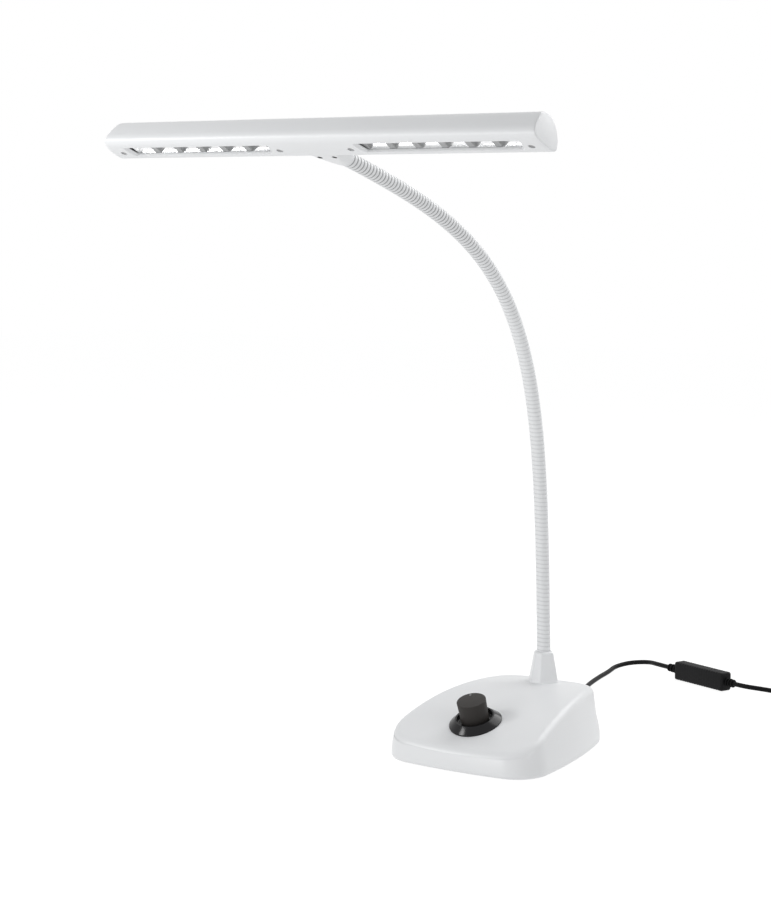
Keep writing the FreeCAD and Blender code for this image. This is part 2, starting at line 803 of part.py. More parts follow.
def holder_screw_axis(side, start, radius, length):
    bar = cylinder(radius, V(side * holder_screw_x, holder_screw_u, start), Z_AXIS, length)
    return placed(bar, head_frame)


def holder_screws():
    screws = []
    for side in (-1, 1):
        head = holder_screw_axis(side, holder_screw_seat - holder_screw_head_height,
                                 holder_screw_head_radius, holder_screw_head_height)
        shank = holder_screw_axis(side, holder_screw_seat, holder_screw_radius, holder_screw_length)
        screws.append(head.fuse(shank))
    return Part.makeCompound(screws)


def lead_run(route):
    # straight runs joined by the largest arcs that leave 0.1 of each run straight
    points = [V(*point) for point in route]
    edges = []
    radii = []
    start = points[0]
    for before, corner, after in zip(points, points[1:], points[2:]):
        incoming = (corner - before).normalize()
        outgoing = (after - corner).normalize()
        turn = incoming.getAngle(outgoing)
        reach = 0.45 * min((corner - before).Length, (after - corner).Length)
        radius = reach / math.tan(turn / 2)
        radii.append(radius)
        arc_start = corner - incoming * reach
        arc_end = corner + outgoing * reach
        inward = (outgoing - incoming).normalize()
        arc_middle = corner + inward * (radius / math.cos(turn / 2) - radius)
        edges.append(line(start, arc_start))
        edges.append(Part.Arc(arc_start, arc_middle, arc_end).toShape())
        start = arc_end
    edges.append(line(start, points[-1]))
    return Part.Wire(edges), radii


def lead_tube(route, name, ends):
    path, radii = lead_run(route)
    section = ring(path.Vertexes[0].Point, V(*route[1]) - V(*route[0]), lead_radius)
    tube = path.makePipeShell([section], True, True)
    expected = math.pi * lead_radius ** 2 * path.Length
    print(name, "length %.0f" % path.Length, "radii", [round(radius) for radius in radii],
          "volume share %.3f" % (tube.Volume / expected))
    return tube.cut(shapes[ends[0]]).cut(shapes[ends[1]])


def strain_relief(start, end):
    # a soft core with ribs, from a housing towards the cord
    axis = end - start
    length = axis.Length
    pitch = length / relief_ribs
    outline = [(0, 0), (relief_radius, 0)]
    for index in range(relief_ribs):
        foot = index * pitch
        outline += [(relief_radius, foot + relief_rib), (relief_core_radius, foot + relief_rib),
                    (relief_core_radius, foot + pitch), (relief_radius, foot + pitch)]
    outline = outline[:-1] + [(0, length)]
    frame = FreeCAD.Placement(start, FreeCAD.Rotation(Z_AXIS, axis))
    return placed(turned(outline), frame)


coupling_from = V(*coupling_start)
coupling_to = V(*coupling_end)
coupling_axis = coupling_to - coupling_from
coupling_length = coupling_axis.Length
coupling_frame = FreeCAD.Placement(coupling_from, FreeCAD.Rotation(X_AXIS, coupling_axis))


def coupling_part(start, end):
    block = Part.makeBox(end - start, coupling_depth, coupling_height,
                         V(start, -coupling_depth / 2, -coupling_height / 2))
    return block.makeFillet(coupling_edge, edges_along(block, end - start))


def coupling_socket():
    split = coupling_length * (1 - coupling_plug_share)
    barrel_end = V(split - barrel_length - seam, 0, 0)
    barrel_hole = cylinder(barrel_radius + barrel_play, barrel_end, X_AXIS, margin)
    body = placed(coupling_part(0, split).cut(barrel_hole), coupling_frame)
    relief = strain_relief(coupling_from, V(*lead_route[-1]))
    return body.fuse(relief)


def coupling_plug():
    split = coupling_length * (1 - coupling_plug_share)
    barrel = cylinder(barrel_radius, V(split - barrel_length, 0, 0), X_AXIS, margin)
    body = placed(coupling_part(split, coupling_length).fuse(barrel), coupling_frame)
    relief = strain_relief(coupling_to, V(*supply_route[0]))
    return body.fuse(relief)


def lead_coil():
    inner = coil_radius - coil_band
    outer = coil_radius + coil_band
    edge = lead_radius
    section = ((inner, 0), (outer, 0), (outer, coil_height - edge), (outer - edge, coil_height),
               (inner + edge, coil_height), (inner, coil_height - edge))
    coil = turned(section)
    coil.translate(V(coil_centre[0], coil_centre[1], 0))
    return coil


def adapter_frame():
    end = V(*adapter_route[-1])
    heading = end - V(*adapter_route[-2])
    heading.z = 0
    return FreeCAD.Placement(V(end.x, end.y, 0), FreeCAD.Rotation(X_AXIS, heading))


def adapter_body():
    body = Part.makeBox(*adapter_size, V(0, -adapter_size[1] / 2, 0))
    return placed(body.makeFillet(adapter_edge, edges_along(body, adapter_size[0])), adapter_frame())


def adapter_pins():
    pins = []
    for side in (-1, 1):
        root = V(adapter_size[0], side * adapter_pin_spacing / 2, adapter_size[2] / 2)
        pins.append(cylinder(adapter_pin_radius, root, X_AXIS, adapter_pin_length))
    return placed(Part.makeCompound(pins), adapter_frame())


def cord_relief():
    # a flange inside the rear wall, a neck through it and ribs outside
    inside = cord_exit - Y_AXIS * (2 * base_wall + grommet_flange)
    body = cylinder(relief_radius, inside, Y_AXIS, 2 * base_wall + grommet_flange)
    return body.fuse(strain_relief(cord_exit, V(*lead_route[0]))).cut(shapes["base_shell"])


shapes["base_shell"] = base_shell()
shapes["base_plate"] = base_plate()
shapes["grip_pad"] = grip_pad()
shapes["base_screws"] = base_screws()
shapes["ballast"] = ballast()
shapes["bezel"] = bezel()
shapes["dimmer"] = dimmer()
shapes["dimmer_nut"] = dimmer_nut()
shapes["dimmer_board"] = dimmer_board()
shapes["dimmer_shaft"] = dimmer_shaft()
shapes["knob"] = knob()
shapes["knob_pointer"] = placed(pointer_form(), knob_frame)
shapes["neck_socket"] = neck_socket()
shapes["socket_nut"] = socket_nut()
shapes["neck_foot"] = neck_foot()
for number in range(1, neck_links + 1):
    shapes["neck_link_%02d" % number] = neck_link(number)
shapes["neck_tip"] = neck_tip()
shapes["neck_holder"] = neck_holder()
shapes["holder_screws"] = holder_screws()
shapes["head_shell"] = placed(head_shell(), head_frame)
shapes["head_cover"] = placed(head_cover(), head_frame)
shapes["cover_screws"] = placed(cover_screws(), head_frame)
right_cap = end_cap()
for side, build in (("left", mirrored), ("right", lambda shape: shape)):
    shapes["end_cap_" + side] = placed(build(right_cap), head_frame)
    shapes["reflector_" + side] = placed(build(reflector()), head_frame)
    shapes["led_board_" + side] = placed(build(led_board()), head_frame)
    shapes["led_chips_" + side] = placed(build(led_chips()), head_frame)
shapes["cord_relief"] = cord_relief()
shapes["coupling_socket"] = coupling_socket()
shapes["coupling_plug"] = coupling_plug()
shapes["lead_coil"] = lead_coil()
shapes["adapter_body"] = adapter_body()
shapes["adapter_pins"] = adapter_pins()
shapes["lamp_lead"] = lead_tube(lead_route, "lamp_lead", ("cord_relief", "coupling_socket"))
shapes["supply_lead"] = lead_tube(supply_route, "supply_lead", ("coupling_plug", "lead_coil"))
shapes["adapter_lead"] = lead_tube(adapter_route, "adapter_lead", ("lead_coil", "adapter_body"))

os.makedirs("parts", exist_ok=True)
for name, shape in shapes.items():
    print(name, "valid", shape.isValid(), "solids", len(shape.Solids), "volume %.0f" % shape.Volume)
    shape.exportStep("parts/%s.step" % name)
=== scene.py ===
import json
import math

import bmesh
import bpy
from mathutils import Matrix, Vector


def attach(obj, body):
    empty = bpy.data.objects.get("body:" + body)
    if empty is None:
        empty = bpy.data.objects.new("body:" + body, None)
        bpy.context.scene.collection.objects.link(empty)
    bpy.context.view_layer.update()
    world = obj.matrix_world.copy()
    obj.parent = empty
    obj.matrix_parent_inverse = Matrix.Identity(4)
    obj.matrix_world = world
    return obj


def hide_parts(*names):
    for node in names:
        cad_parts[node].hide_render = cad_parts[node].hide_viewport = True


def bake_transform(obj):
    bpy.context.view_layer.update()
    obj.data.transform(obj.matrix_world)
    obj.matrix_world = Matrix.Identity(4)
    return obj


# Looks for the piano lamp: metres, +X along the head, -Y towards the player, +Z up

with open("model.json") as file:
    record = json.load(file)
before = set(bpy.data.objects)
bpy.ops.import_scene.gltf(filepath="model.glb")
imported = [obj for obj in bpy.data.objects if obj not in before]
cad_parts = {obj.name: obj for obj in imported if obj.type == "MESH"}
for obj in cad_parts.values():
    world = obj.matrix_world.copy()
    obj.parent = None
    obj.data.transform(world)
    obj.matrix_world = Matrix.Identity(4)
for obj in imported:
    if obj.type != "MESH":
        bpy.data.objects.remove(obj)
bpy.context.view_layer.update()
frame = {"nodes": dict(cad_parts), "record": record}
nodes = frame["nodes"]
scene = bpy.context.scene
print("frame loaded")


# meshes from rings and outlines
weldWithin = 1e-7
arcs = {"most": 0.49, "least": 1e-6, "straight": 1e-3}      # of a side's length, in metres, in radians


def meshPiece(name, points, faces, material, sharp=32):
    mesh = bpy.data.meshes.new(name)
    mesh.from_pydata([tuple(point) for point in points], [], faces)
    work = bmesh.new()
    work.from_mesh(mesh)
    bmesh.ops.remove_doubles(work, verts=work.verts, dist=weldWithin)
    bmesh.ops.recalc_face_normals(work, faces=work.faces)
    work.to_mesh(mesh)
    work.free()
    mesh.polygons.foreach_set("use_smooth", [True] * len(mesh.polygons))
    mesh.set_sharp_from_angle(angle=math.radians(sharp))
    mesh.materials.append(material)
    piece = bpy.data.objects.new(name, mesh)
    scene.collection.objects.link(piece)
    return piece


def circle(steps):
    # the angles of equal steps round a circle
    return [2 * math.pi * step / steps for step in range(steps)]


def ringFaces(rings, count, closed=False):
    # quads between neighbouring rings of equally many points
    faces = []
    for ring in range(rings if closed else rings - 1):
        low = ring * count
        high = (ring + 1) % rings * count
        for index in range(count):
            following = (index + 1) % count
            faces.append((low + index, low + following, high + following, high + index))
    return faces


def skin(name, rings, material, sharp=32):
    # a closed skin over rings of points, with a flat face at each end
    count = len(rings[0])
    faces = ringFaces(len(rings), count)
    faces.append(tuple(range(count)))
    faces.append(tuple(range((len(rings) - 1) * count, len(rings) * count)))
    return meshPiece(name, [point for ring in rings for point in ring], faces, material, sharp)


def turned(name, outline, place, material, steps=96, sharp=32, lift=None):
    # turns a closed outline of (radius, height) pairs about the Z of place
    points = []
    for angle in circle(steps):
        for radius, height in outline:
            x, y = radius * math.cos(angle), radius * math.sin(angle)
            points.append(place @ Vector((x, y, height + (lift(x, y, height) if lift else 0))))
    return meshPiece(name, points, ringFaces(steps, len(outline), closed=True), material, sharp)


def rounded(corners, radii, steps=5):
    # replaces each corner of a closed outline by an arc
    outline = []
    count = len(corners)
    for index in range(count):
        corner = Vector(corners[index])
        radius = radii[index] if isinstance(radii, (list, tuple)) else radii
        back = Vector(corners[index - 1]) - corner
        ahead = Vector(corners[(index + 1) % count]) - corner
        half = back.angle(ahead, math.pi) / 2
        most = arcs["most"] * min(back.length, ahead.length)
        reach = min(radius / math.tan(half), most) if half > arcs["straight"] else 0
        if reach < arcs["least"] or abs(half - math.pi / 2) < arcs["straight"]:
            outline.append(corner)
            continue
        radius = reach * math.tan(half)
        start = corner + back.normalized() * reach
        inward = (back.normalized() + ahead.normalized()).normalized()
        centre = corner + inward * (radius / math.sin(half))
        spoke = start - centre
        turn = math.pi - 2 * half
        side = 1 if back.x * ahead.y - back.y * ahead.x < 0 else -1
        for step in range(steps + 1):
            angle = side * turn * step / steps
            outline.append(centre + Vector((spoke.x * math.cos(angle) - spoke.y * math.sin(angle),
                                            spoke.x * math.sin(angle) + spoke.y * math.cos(angle))))
    return outline


def cutBy(piece, cutters, sharp=32, folded=False):
    # folded: the piece's own faces may cross each other
    for cutter in cutters:
        modifier = piece.modifiers.new("cut", "BOOLEAN")
        modifier.object = cutter
        modifier.use_self = folded
        modifier.operation = "DIFFERENCE"
        modifier.solver = "EXACT"
    mesh = bpy.data.meshes.new_from_object(piece.evaluated_get(bpy.context.evaluated_depsgraph_get()))
    piece.modifiers.clear()
    piece.data = mesh
    mesh.set_sharp_from_angle(angle=math.radians(sharp))
    for cutter in cutters:
        bpy.data.objects.remove(cutter)
    return piece


def rod(name, place, radius, low, high, material, steps=40):
    # a round bar between two heights along the Z of place
    rings = [[place @ Vector((radius * math.cos(angle), radius * math.sin(angle), height))
              for angle in circle(steps)] for height in (low, high)]
    return skin(name, rings, material)


def upright(position, axis=(0, 0, 1)):
    # a place whose Z points along the axis
    turn = Vector((0, 0, 1)).rotation_difference(Vector(axis))
    return Matrix.Translation(Vector(position)) @ turn.to_matrix().to_4x4()


# materials
grainNoise = {"fineDetail": 3, "slowScale": 26, "slowDetail": 4, "slowLow": 0.35, "slowHigh": 0.65}
bumpDepth = 0.0002
grainSockets = (("Base Color", "NodeSocketColor", "INPUT"), ("Roughness", "NodeSocketFloat", "INPUT"),
                ("Grain Scale", "NodeSocketFloat", "INPUT"), ("Mottle", "NodeSocketFloat", "INPUT"),
                ("Base Color", "NodeSocketColor", "OUTPUT"), ("Roughness", "NodeSocketFloat", "OUTPUT"),
                ("Height", "NodeSocketFloat", "OUTPUT"))


def shadedGrain():
    # fine moulding grain and a slow unevenness, in the piece's own coordinates
    group = bpy.data.node_groups.new("shadedGrain", "ShaderNodeTree")
    for label, kind, direction in grainSockets:
        group.interface.new_socket(label, in_out=direction, socket_type=kind)
    build, link = group.nodes.new, group.links.new
    given, made = build("NodeGroupInput"), build("NodeGroupOutput")
    place = build("ShaderNodeTexCoord")
    fine = build("ShaderNodeTexNoise")
    fine.inputs["Detail"].default_value = grainNoise["fineDetail"]
    link(place.outputs["Object"], fine.inputs["Vector"])
    link(given.outputs["Grain Scale"], fine.inputs["Scale"])
    slow = build("ShaderNodeTexNoise")
    slow.inputs["Scale"].default_value = grainNoise["slowScale"]
    slow.inputs["Detail"].default_value = grainNoise["slowDetail"]
    link(place.outputs["Object"], slow.inputs["Vector"])
    tone = build("ShaderNodeMapRange")
    tone.inputs["From Min"].default_value = grainNoise["slowLow"]
    tone.inputs["From Max"].default_value = grainNoise["slowHigh"]
    link(slow.outputs["Fac"], tone.inputs["Value"])
    depth = build("ShaderNodeMath")
    depth.operation = "MULTIPLY"
    link(tone.outputs["Result"], depth.inputs[0])
    link(given.outputs["Mottle"], depth.inputs[1])
    keep = build("ShaderNodeMath")
    keep.operation = "SUBTRACT"
    keep.inputs[0].default_value = 1
    link(depth.outputs[0], keep.inputs[1])
    colour = build("ShaderNodeVectorMath")
    colour.operation = "SCALE"
    link(given.outputs["Base Color"], colour.inputs[0])
    link(keep.outputs[0], colour.inputs["Scale"])
    link(colour.outputs[0], made.inputs["Base Color"])
    sheen = build("ShaderNodeMath")
    sheen.operation = "ADD"
    link(given.outputs["Roughness"], sheen.inputs[0])
    link(depth.outputs[0], sheen.inputs[1])
    link(sheen.outputs[0], made.inputs["Roughness"])
    link(fine.outputs["Fac"], made.inputs["Height"])
    return group


grainGroup = shadedGrain()


def finish(name, look):
    # look: colour, rough, grain (noise scale), bump, mottle, and metal, gleam or groove where it has them;
    # groove is the colour of painted shade in grooves
    material = bpy.data.materials.new(name)
    material.use_nodes = True
    build, link = material.node_tree.nodes.new, material.node_tree.links.new
    shader = material.node_tree.nodes["Principled BSDF"]
    grain = build("ShaderNodeGroup")
    grain.node_tree = grainGroup
    grain.inputs["Base Color"].default_value = (*look["colour"], 1)
    grain.inputs["Roughness"].default_value = look["rough"]
    grain.inputs["Grain Scale"].default_value = look["grain"]
    grain.inputs["Mottle"].default_value = look["mottle"]
    if "groove" in look:
        # painted shade: darker in the grooves, by the depth that the mesh carries
        depth = build("ShaderNodeAttribute")
        depth.attribute_name = "groove"
        mix = build("ShaderNodeMix")
        mix.data_type = "RGBA"
        mix.inputs["A"].default_value = (*look["colour"], 1)
        mix.inputs["B"].default_value = (*look["groove"], 1)
        link(depth.outputs["Fac"], mix.inputs["Factor"])
        link(mix.outputs["Result"], grain.inputs["Base Color"])
    bump = build("ShaderNodeBump")
    bump.inputs["Strength"].default_value = look["bump"]
    bump.inputs["Distance"].default_value = bumpDepth
    link(grain.outputs["Height"], bump.inputs["Height"])
    link(grain.outputs["Base Color"], shader.inputs["Base Color"])
    link(grain.outputs["Roughness"], shader.inputs["Roughness"])
    link(bump.outputs["Normal"], shader.inputs["Normal"])
    shader.inputs["Metallic"].default_value = look.get("metal", 0)
    shader.inputs["Specular IOR Level"].default_value = look.get("gleam", 0.5)
    return material


looks = {
    "white_shell": {"colour": (0.79, 0.80, 0.81), "rough": 0.34, "grain": 2600, "bump": 0.05,
                    "mottle": 0.012},
    # the neck's groove colour is painted shade, laid into the grooves between the ribs
    "white_neck": {"colour": (0.79, 0.80, 0.81), "rough": 0.42, "grain": 2600, "bump": 0.06,
                   "mottle": 0.02, "groove": (0.14, 0.143, 0.146)},
    "black_gloss": {"colour": (0.008, 0.008, 0.009), "rough": 0.16, "grain": 900, "bump": 0.03,
                    "mottle": 0.03, "gleam": 0.22},
    "knob_dark": {"colour": (0.034, 0.031, 0.029), "rough": 0.5, "grain": 3200, "bump": 0.25,
                  "mottle": 0.08, "gleam": 0.2},
    "pointer_white": {"colour": (0.83, 0.83, 0.82), "rough": 0.5, "grain": 2600, "bump": 0.1,
                      "mottle": 0.03},
    "steel": {"colour": (0.56, 0.57, 0.58), "rough": 0.3, "grain": 1800, "bump": 0.1,
              "mottle": 0.1, "metal": 1},
    "screw_black": {"colour": (0.40, 0.40, 0.405), "rough": 0.35, "grain": 1800, "bump": 0.1,
                    "mottle": 0.1, "metal": 1},
    "iron": {"colour": (0.16, 0.155, 0.15), "rough": 0.7, "grain": 420, "bump": 0.6,
             "mottle": 0.2, "metal": 0.8},
    "pad_rubber": {"colour": (0.030, 0.030, 0.031), "rough": 0.85, "grain": 1500, "bump": 0.5,
                   "mottle": 0.1},
    "cord_black": {"colour": (0.006, 0.006, 0.0065), "rough": 0.42, "grain": 1600, "bump": 0.12,
                   "mottle": 0.05, "gleam": 0.08},
    "moulded_black": {"colour": (0.0105, 0.0105, 0.011), "rough": 0.5, "grain": 2200, "bump": 0.3,
                      "mottle": 0.06, "gleam": 0.1},
    "board_green": {"colour": (0.02, 0.10, 0.045), "rough": 0.4, "grain": 700, "bump": 0.2,
                    "mottle": 0.15},
    "board_white": {"colour": (0.78, 0.79, 0.79), "rough": 0.5, "grain": 900, "bump": 0.1,
                    "mottle": 0.05},
    "reflector": {"colour": (0.94, 0.945, 0.95), "rough": 0.16, "grain": 500, "bump": 0.12,
                  "mottle": 0.03, "metal": 1},
    # painted shade: the partitions are the cups' own bright material, greyed for the shade that falls on
    # them
    "reflectorWebShade": {"colour": (0.40, 0.405, 0.41), "rough": 0.4, "grain": 900, "bump": 0.1,
                     "mottle": 0.05},
    "led": {"colour": (0.82, 0.62, 0.18), "rough": 0.45, "grain": 3000, "bump": 0.15, "mottle": 0.1},
    "brass_pins": {"colour": (0.62, 0.52, 0.30), "rough": 0.25, "grain": 1500, "bump": 0.1,
                   "mottle": 0.1, "metal": 1},
}
materials = {slot: finish(slot, look) for slot, look in looks.items()}
slotOf = {part["node"]: part["material_slot"] for part in frame["record"]["subparts"]}
for node, thing in nodes.items():
    thing.data.materials.clear()
    thing.data.materials.append(materials[slotOf[node]])
print("materials made")


def seat(piece, body, *stoodFor):
    # the piece moves with the body and stands for these nodes
    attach(piece, body)
    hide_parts(*stoodFor)
    return piece


# camera
view = {"from": (0.8424, -1.3541, 0.3936), "at": (-0.10734, 0, 0.21230), "lens": 89.82, "sensor": 36,
        "near": 0.05, "far": 20}


def addCamera():
    data = bpy.data.cameras.new("camera")
    data.sensor_fit = "VERTICAL"
    data.sensor_height = view["sensor"]
    data.lens = view["lens"]
    data.clip_start, data.clip_end = view["near"], view["far"]
    camera = bpy.data.objects.new("camera", data)
    camera.location = view["from"]
    camera.rotation_euler = (Vector(view["at"]) - Vector(view["from"])).to_track_quat("-Z", "Y").to_euler()
    scene.collection.objects.link(camera)
    scene.camera = camera


addCamera()

# lead
lead = {"radius": 0.0019, "lamp": 0.28, "supply": 1.57, "roundness": 5, "smoothness": 8,
        "reliefFrom": 0.0738}
lampRoute = ((-0.0220, 0.0870, 0.0065), (-0.0220, 0.1050, 0.0065), (-0.0250, 0.1250, 0.0036),
             (-0.0320, 0.1470, 0.0021), (-0.0420, 0.1710, 0.0020), (-0.0520, 0.1980, 0.0020),
             (-0.0610, 0.2260, 0.0020), (-0.0676, 0.2540, 0.0020), (-0.0712, 0.2764, 0.0022),
             (-0.0757, 0.2941, 0.0028), (-0.0700, 0.3101, 0.0043), (-0.0537, 0.3146, 0.0060),
             (-0.0400, 0.3033, 0.0076), (-0.0250, 0.2975, 0.0076))
supplyRoute = ((0.0477, 0.2695, 0.0076), (0.0589, 0.2652, 0.0076), (0.0710, 0.2695, 0.0064),
               (0.0850, 0.2750, 0.0046), (0.1000, 0.2775, 0.0032), (0.1140, 0.2786, 0.0024),
               (0.1260, 0.2792, 0.0024))
adapterRoute = ((0.1510, 0.2785, 0.0136), (0.1660, 0.2815, 0.0100), (0.1800, 0.2820, 0.0076),
                (0.1950, 0.2800, 0.0080), (0.2110, 0.2780, 0.0080))
coil = {"centre": (0.138, 0.256), "radius": 0.021, "columns": 3, "rows": 4, "perTurn": 16, "low": 0.0021,
        "start": 117.0, "end": 61.0, "slideFrom": 0.7, "slideOver": 0.3}


def coilPoints():
    # turns side by side in a row, from outside to inside and back again in the row above
    pitch, columns = 2 * lead["radius"], coil["columns"]
    turns = columns * coil["rows"]
    sweep = turns + (coil["start"] - coil["end"]) / 360 - 1
    count = round(sweep * coil["perTurn"])

    def place(number):
        row = min(number // columns, coil["rows"] - 1)
        column = number % columns if row % 2 == 0 else columns - 1 - number % columns
        return coil["radius"] + pitch * ((columns - 1) / 2 - column), coil["low"] + pitch * row

    points = []
    for index in range(1, count):
        turn = sweep * index / count
        angle = math.radians(coil["start"] - 360 * turn)
        whole = min(int(turn), turns - 1)
        # late in each turn it moves on to the next place
        slide = max(0, (turn - whole - coil["slideFrom"]) / coil["slideOver"])
        here, there = place(whole), place(min(whole + 1, turns - 1))
        radius = here[0] + (there[0] - here[0]) * slide
        height = here[1] + (there[1] - here[1]) * slide
        x, y = coil["centre"]
        points.append((x + radius * math.cos(angle), y + radius * math.sin(angle), height))
    return points


def cordPiece(name, route):
    data = bpy.data.curves.new(name, "CURVE")
    data.dimensions = "3D"
    data.bevel_depth = lead["radius"]
    data.bevel_resolution = lead["roundness"]
    data.resolution_u = lead["smoothness"]
    data.use_fill_caps = True
    spline = data.splines.new("NURBS")
    spline.points.add(len(route) - 1)
    for point, place in zip(spline.points, route):
        point.co = (*place, 1)
    spline.order_u = 3
    spline.use_endpoint_u = True
    data.materials.append(materials["cord_black"])
    piece = bpy.data.objects.new(name, data)
    scene.collection.objects.link(piece)
    return piece


lampLead = seat(cordPiece("lampLead", lampRoute), "base", "lamp_lead")
supplyLead = seat(cordPiece("supplyLead", (*supplyRoute, *coilPoints(), *adapterRoute)), "base",
                  "supply_lead", "lead_coil", "adapter_lead")
print("leads laid")

# coupling
coupling = {"from": (-0.0143, 0.2934, 0.0076), "to": (0.0398, 0.2726, 0.0076), "height": 0.015,
            "depth": 0.011, "edge": 0.0017, "plugShare": 0.28, "seam": 0.00004, "slice": 0.0003,
            "fewest": 12, "gripPitch": 0.0029, "gripDepth": 0.00035, "gripEnd": 0.005}
reliefs = {"radius": 0.0037, "smaller": 0.0002, "core": 0.0020, "bore": 0.0004, "ribs": 3, "disc": 0.36,
           "edge": 0.0003}


def alongCoupling(distance, side=0, height=0):
    start, end = Vector(coupling["from"]), Vector(coupling["to"])
    axis = (end - start).normalized()
    across = Vector((0, 0, 1)).cross(axis)
    return start + axis * distance + across * side + Vector((0, 0, height))


def couplingHalf(name, start, end, length):
    # a rounded bar with fine grips along its upper and lower edges, round only at the outer end
    halfDepth, halfHeight, edge = coupling["depth"] / 2, coupling["height"] / 2, coupling["edge"]
    steps = max(coupling["fewest"], round((end - start) / coupling["slice"]))
    rings = []
    for step in range(steps + 1):
        distance = start + (end - start) * step / steps
        fromEnd = min(distance, length - distance)
        inward = edge - math.sqrt(edge ** 2 - max(0, edge - fromEnd) ** 2)
        wave = max(0, math.cos(2 * math.pi * distance / coupling["gripPitch"]))
        grip = coupling["gripDepth"] * wave if fromEnd > coupling["gripEnd"] else 0
        width, height = halfDepth - inward, halfHeight - inward - grip
        outline = rounded([(-width, -height), (width, -height), (width, height), (-width, height)], edge)
        rings.append([alongCoupling(distance, point.x, point.y) for point in outline])
    return skin(name, rings, materials["moulded_black"], sharp=40)


def relief(name, start, end):
    # separate discs on a thin core
    length = (end - start).length
    outline = [(reliefs["bore"], 0)]
    pitch = length / reliefs["ribs"]
    for rib in range(reliefs["ribs"]):
        low = pitch * rib
        rise = low + (1 - reliefs["disc"]) * pitch
        radius = reliefs["radius"] - reliefs["smaller"] * rib
        outline += [(reliefs["core"], low), (reliefs["core"], rise), (radius, rise), (radius, low + pitch)]
    outline.append((reliefs["bore"], length))
    place = upright(start, end - start)
    return turned(name, rounded(outline, reliefs["edge"], steps=3), place, materials["cord_black"], steps=36)


def buildCoupling():
    length = (Vector(coupling["to"]) - Vector(coupling["from"])).length
    split = length * (1 - coupling["plugShare"])
    for name, node, start, end, tail in (
            ("couplingSocket", "coupling_socket", 0, split - coupling["seam"],
             (coupling["from"], lampRoute[-1])),
            ("couplingPlug", "coupling_plug", split, length, (coupling["to"], supplyRoute[0]))):
        body = seat(couplingHalf(name, start, end, length), "base", node)
        tailRelief = relief(name + "Relief", Vector(tail[0]), Vector(tail[1]))
        tailRelief.parent = body
        yield body


couplingSocket, couplingPlug = buildCoupling()
leadExit = Vector(lampRoute[0])
exitRelief = relief("exitRelief", Vector((leadExit.x, lead["reliefFrom"], leadExit.z)), leadExit)
seat(exitRelief, "base", "cord_relief")
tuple(lampRoute[0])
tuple(supplyRoute[0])
print("coupling made")

# base
base = {"frontCorner": (0.0633, -0.0702), "rearCorner": (0.0392, 0.0746),
        "bows": (0.0052, 0.0062, 0.0005, 0.0062), "frontRound": 0.0255, "rearRound": 0.0308,
        "topRadius": 0.2425, "topCentreY": 0.0377, "crown": 0.0427, "lean": 0.13, "bulge": 0.0009,
        "widest": 0.011, "rim": 0.0052, "floor": 0.0003, "foot": 0.003, "wall": 0.0024, "gather": 1.6,
        "middleY": 0.004, "nearInset": 0.001, "neckY": 0.0506}
holes = {"bushing": 0.0039, "bushingReach": 0.01, "stem": 0.0062, "stemFrom": 0.02, "stemReach": 0.05,
         "lead": 0.0029, "leadFrom": 0.06, "leadReach": 0.03}


def topHeight(y, drop=0):
    # the crowned top, or this far inside it
    radius = base["topRadius"]
    return base["crown"] - radius + math.sqrt((radius - drop) ** 2 - (y - base["topCentreY"]) ** 2)


def baseSides():
    # the centre, radius and outward direction of each bowed side
    frontX, frontY = base["frontCorner"]
    rearX, rearY = base["rearCorner"]
    corners = [Vector(corner) for corner in ((-frontX, frontY), (frontX, frontY),
                                             (rearX, rearY), (-rearX, rearY))]
    sides = []
    for start, end, bow in zip(corners, corners[1:] + corners[:1], base["bows"]):
        radius = ((end - start).length_squared / 4 + bow ** 2) / (2 * bow)
        outward = Vector(((end - start).y, -(end - start).x)).normalized()
        sides.append(((start + end) / 2 + outward * (bow - radius), radius, outward))
    return sides


def roundingCentre(before, after, radius):
    # the centre of an arc that touches both sides from inside
    between = after[0] - before[0]
    reachBefore, reachAfter = before[1] - radius, after[1] - radius
    along = (between.length_squared + reachBefore ** 2 - reachAfter ** 2) / (2 * between.length)
    across = math.sqrt(reachBefore ** 2 - along ** 2)
    between.normalize()
    sideways = Vector((between.y, -between.x))
    if sideways.dot(before[2] + after[2]) < 0:
        sideways = -sideways
    return before[0] + between * along + sideways * across


def arcPoints(centre, radius, start, end, steps):
    # from start towards end by the short way, without the last point
    first = math.atan2(*(start - centre).yx)
    turn = (math.atan2(*(end - centre).yx) - first + math.pi) % (2 * math.pi) - math.pi
    angles = [first + turn * step / steps for step in range(steps)]
    return [centre + Vector((math.cos(angle), math.sin(angle))) * radius for angle in angles]


sides = baseSides()
roundings = (base["frontRound"], base["frontRound"], base["rearRound"], base["rearRound"])
roundCentres = [roundingCentre(sides[index - 1], sides[index], roundings[index]) for index in range(4)]


def baseOutline(inset, sideSteps=26, cornerSteps=16):
    outline = []
    for index in range(4):
        following = (index + 1) % 4
        centre, radius, _ = sides[index]
        corner, nextCentre = roundCentres[following], sides[following][0]
        start = centre + (roundCentres[index] - centre).normalized() * radius
        end = centre + (corner - centre).normalized() * radius
        after = nextCentre + (corner - nextCentre).normalized() * sides[following][1]
        outline += arcPoints(centre, radius - inset, start, end, sideSteps)
        outline += arcPoints(corner, roundings[following] - inset, end, after, cornerSteps)
    return outline


def wallInset(height):
    # how far the wall stands inside the outline: it leans in, swells a little and turns under at its foot
    swell = base["bulge"] * max(0, 1 - ((height - base["widest"]) / base["widest"]) ** 2)
    under = max(0, base["foot"] - (height - base["floor"]))
    return base["lean"] * height - swell + base["foot"] - math.sqrt(base["foot"] ** 2 - under ** 2)


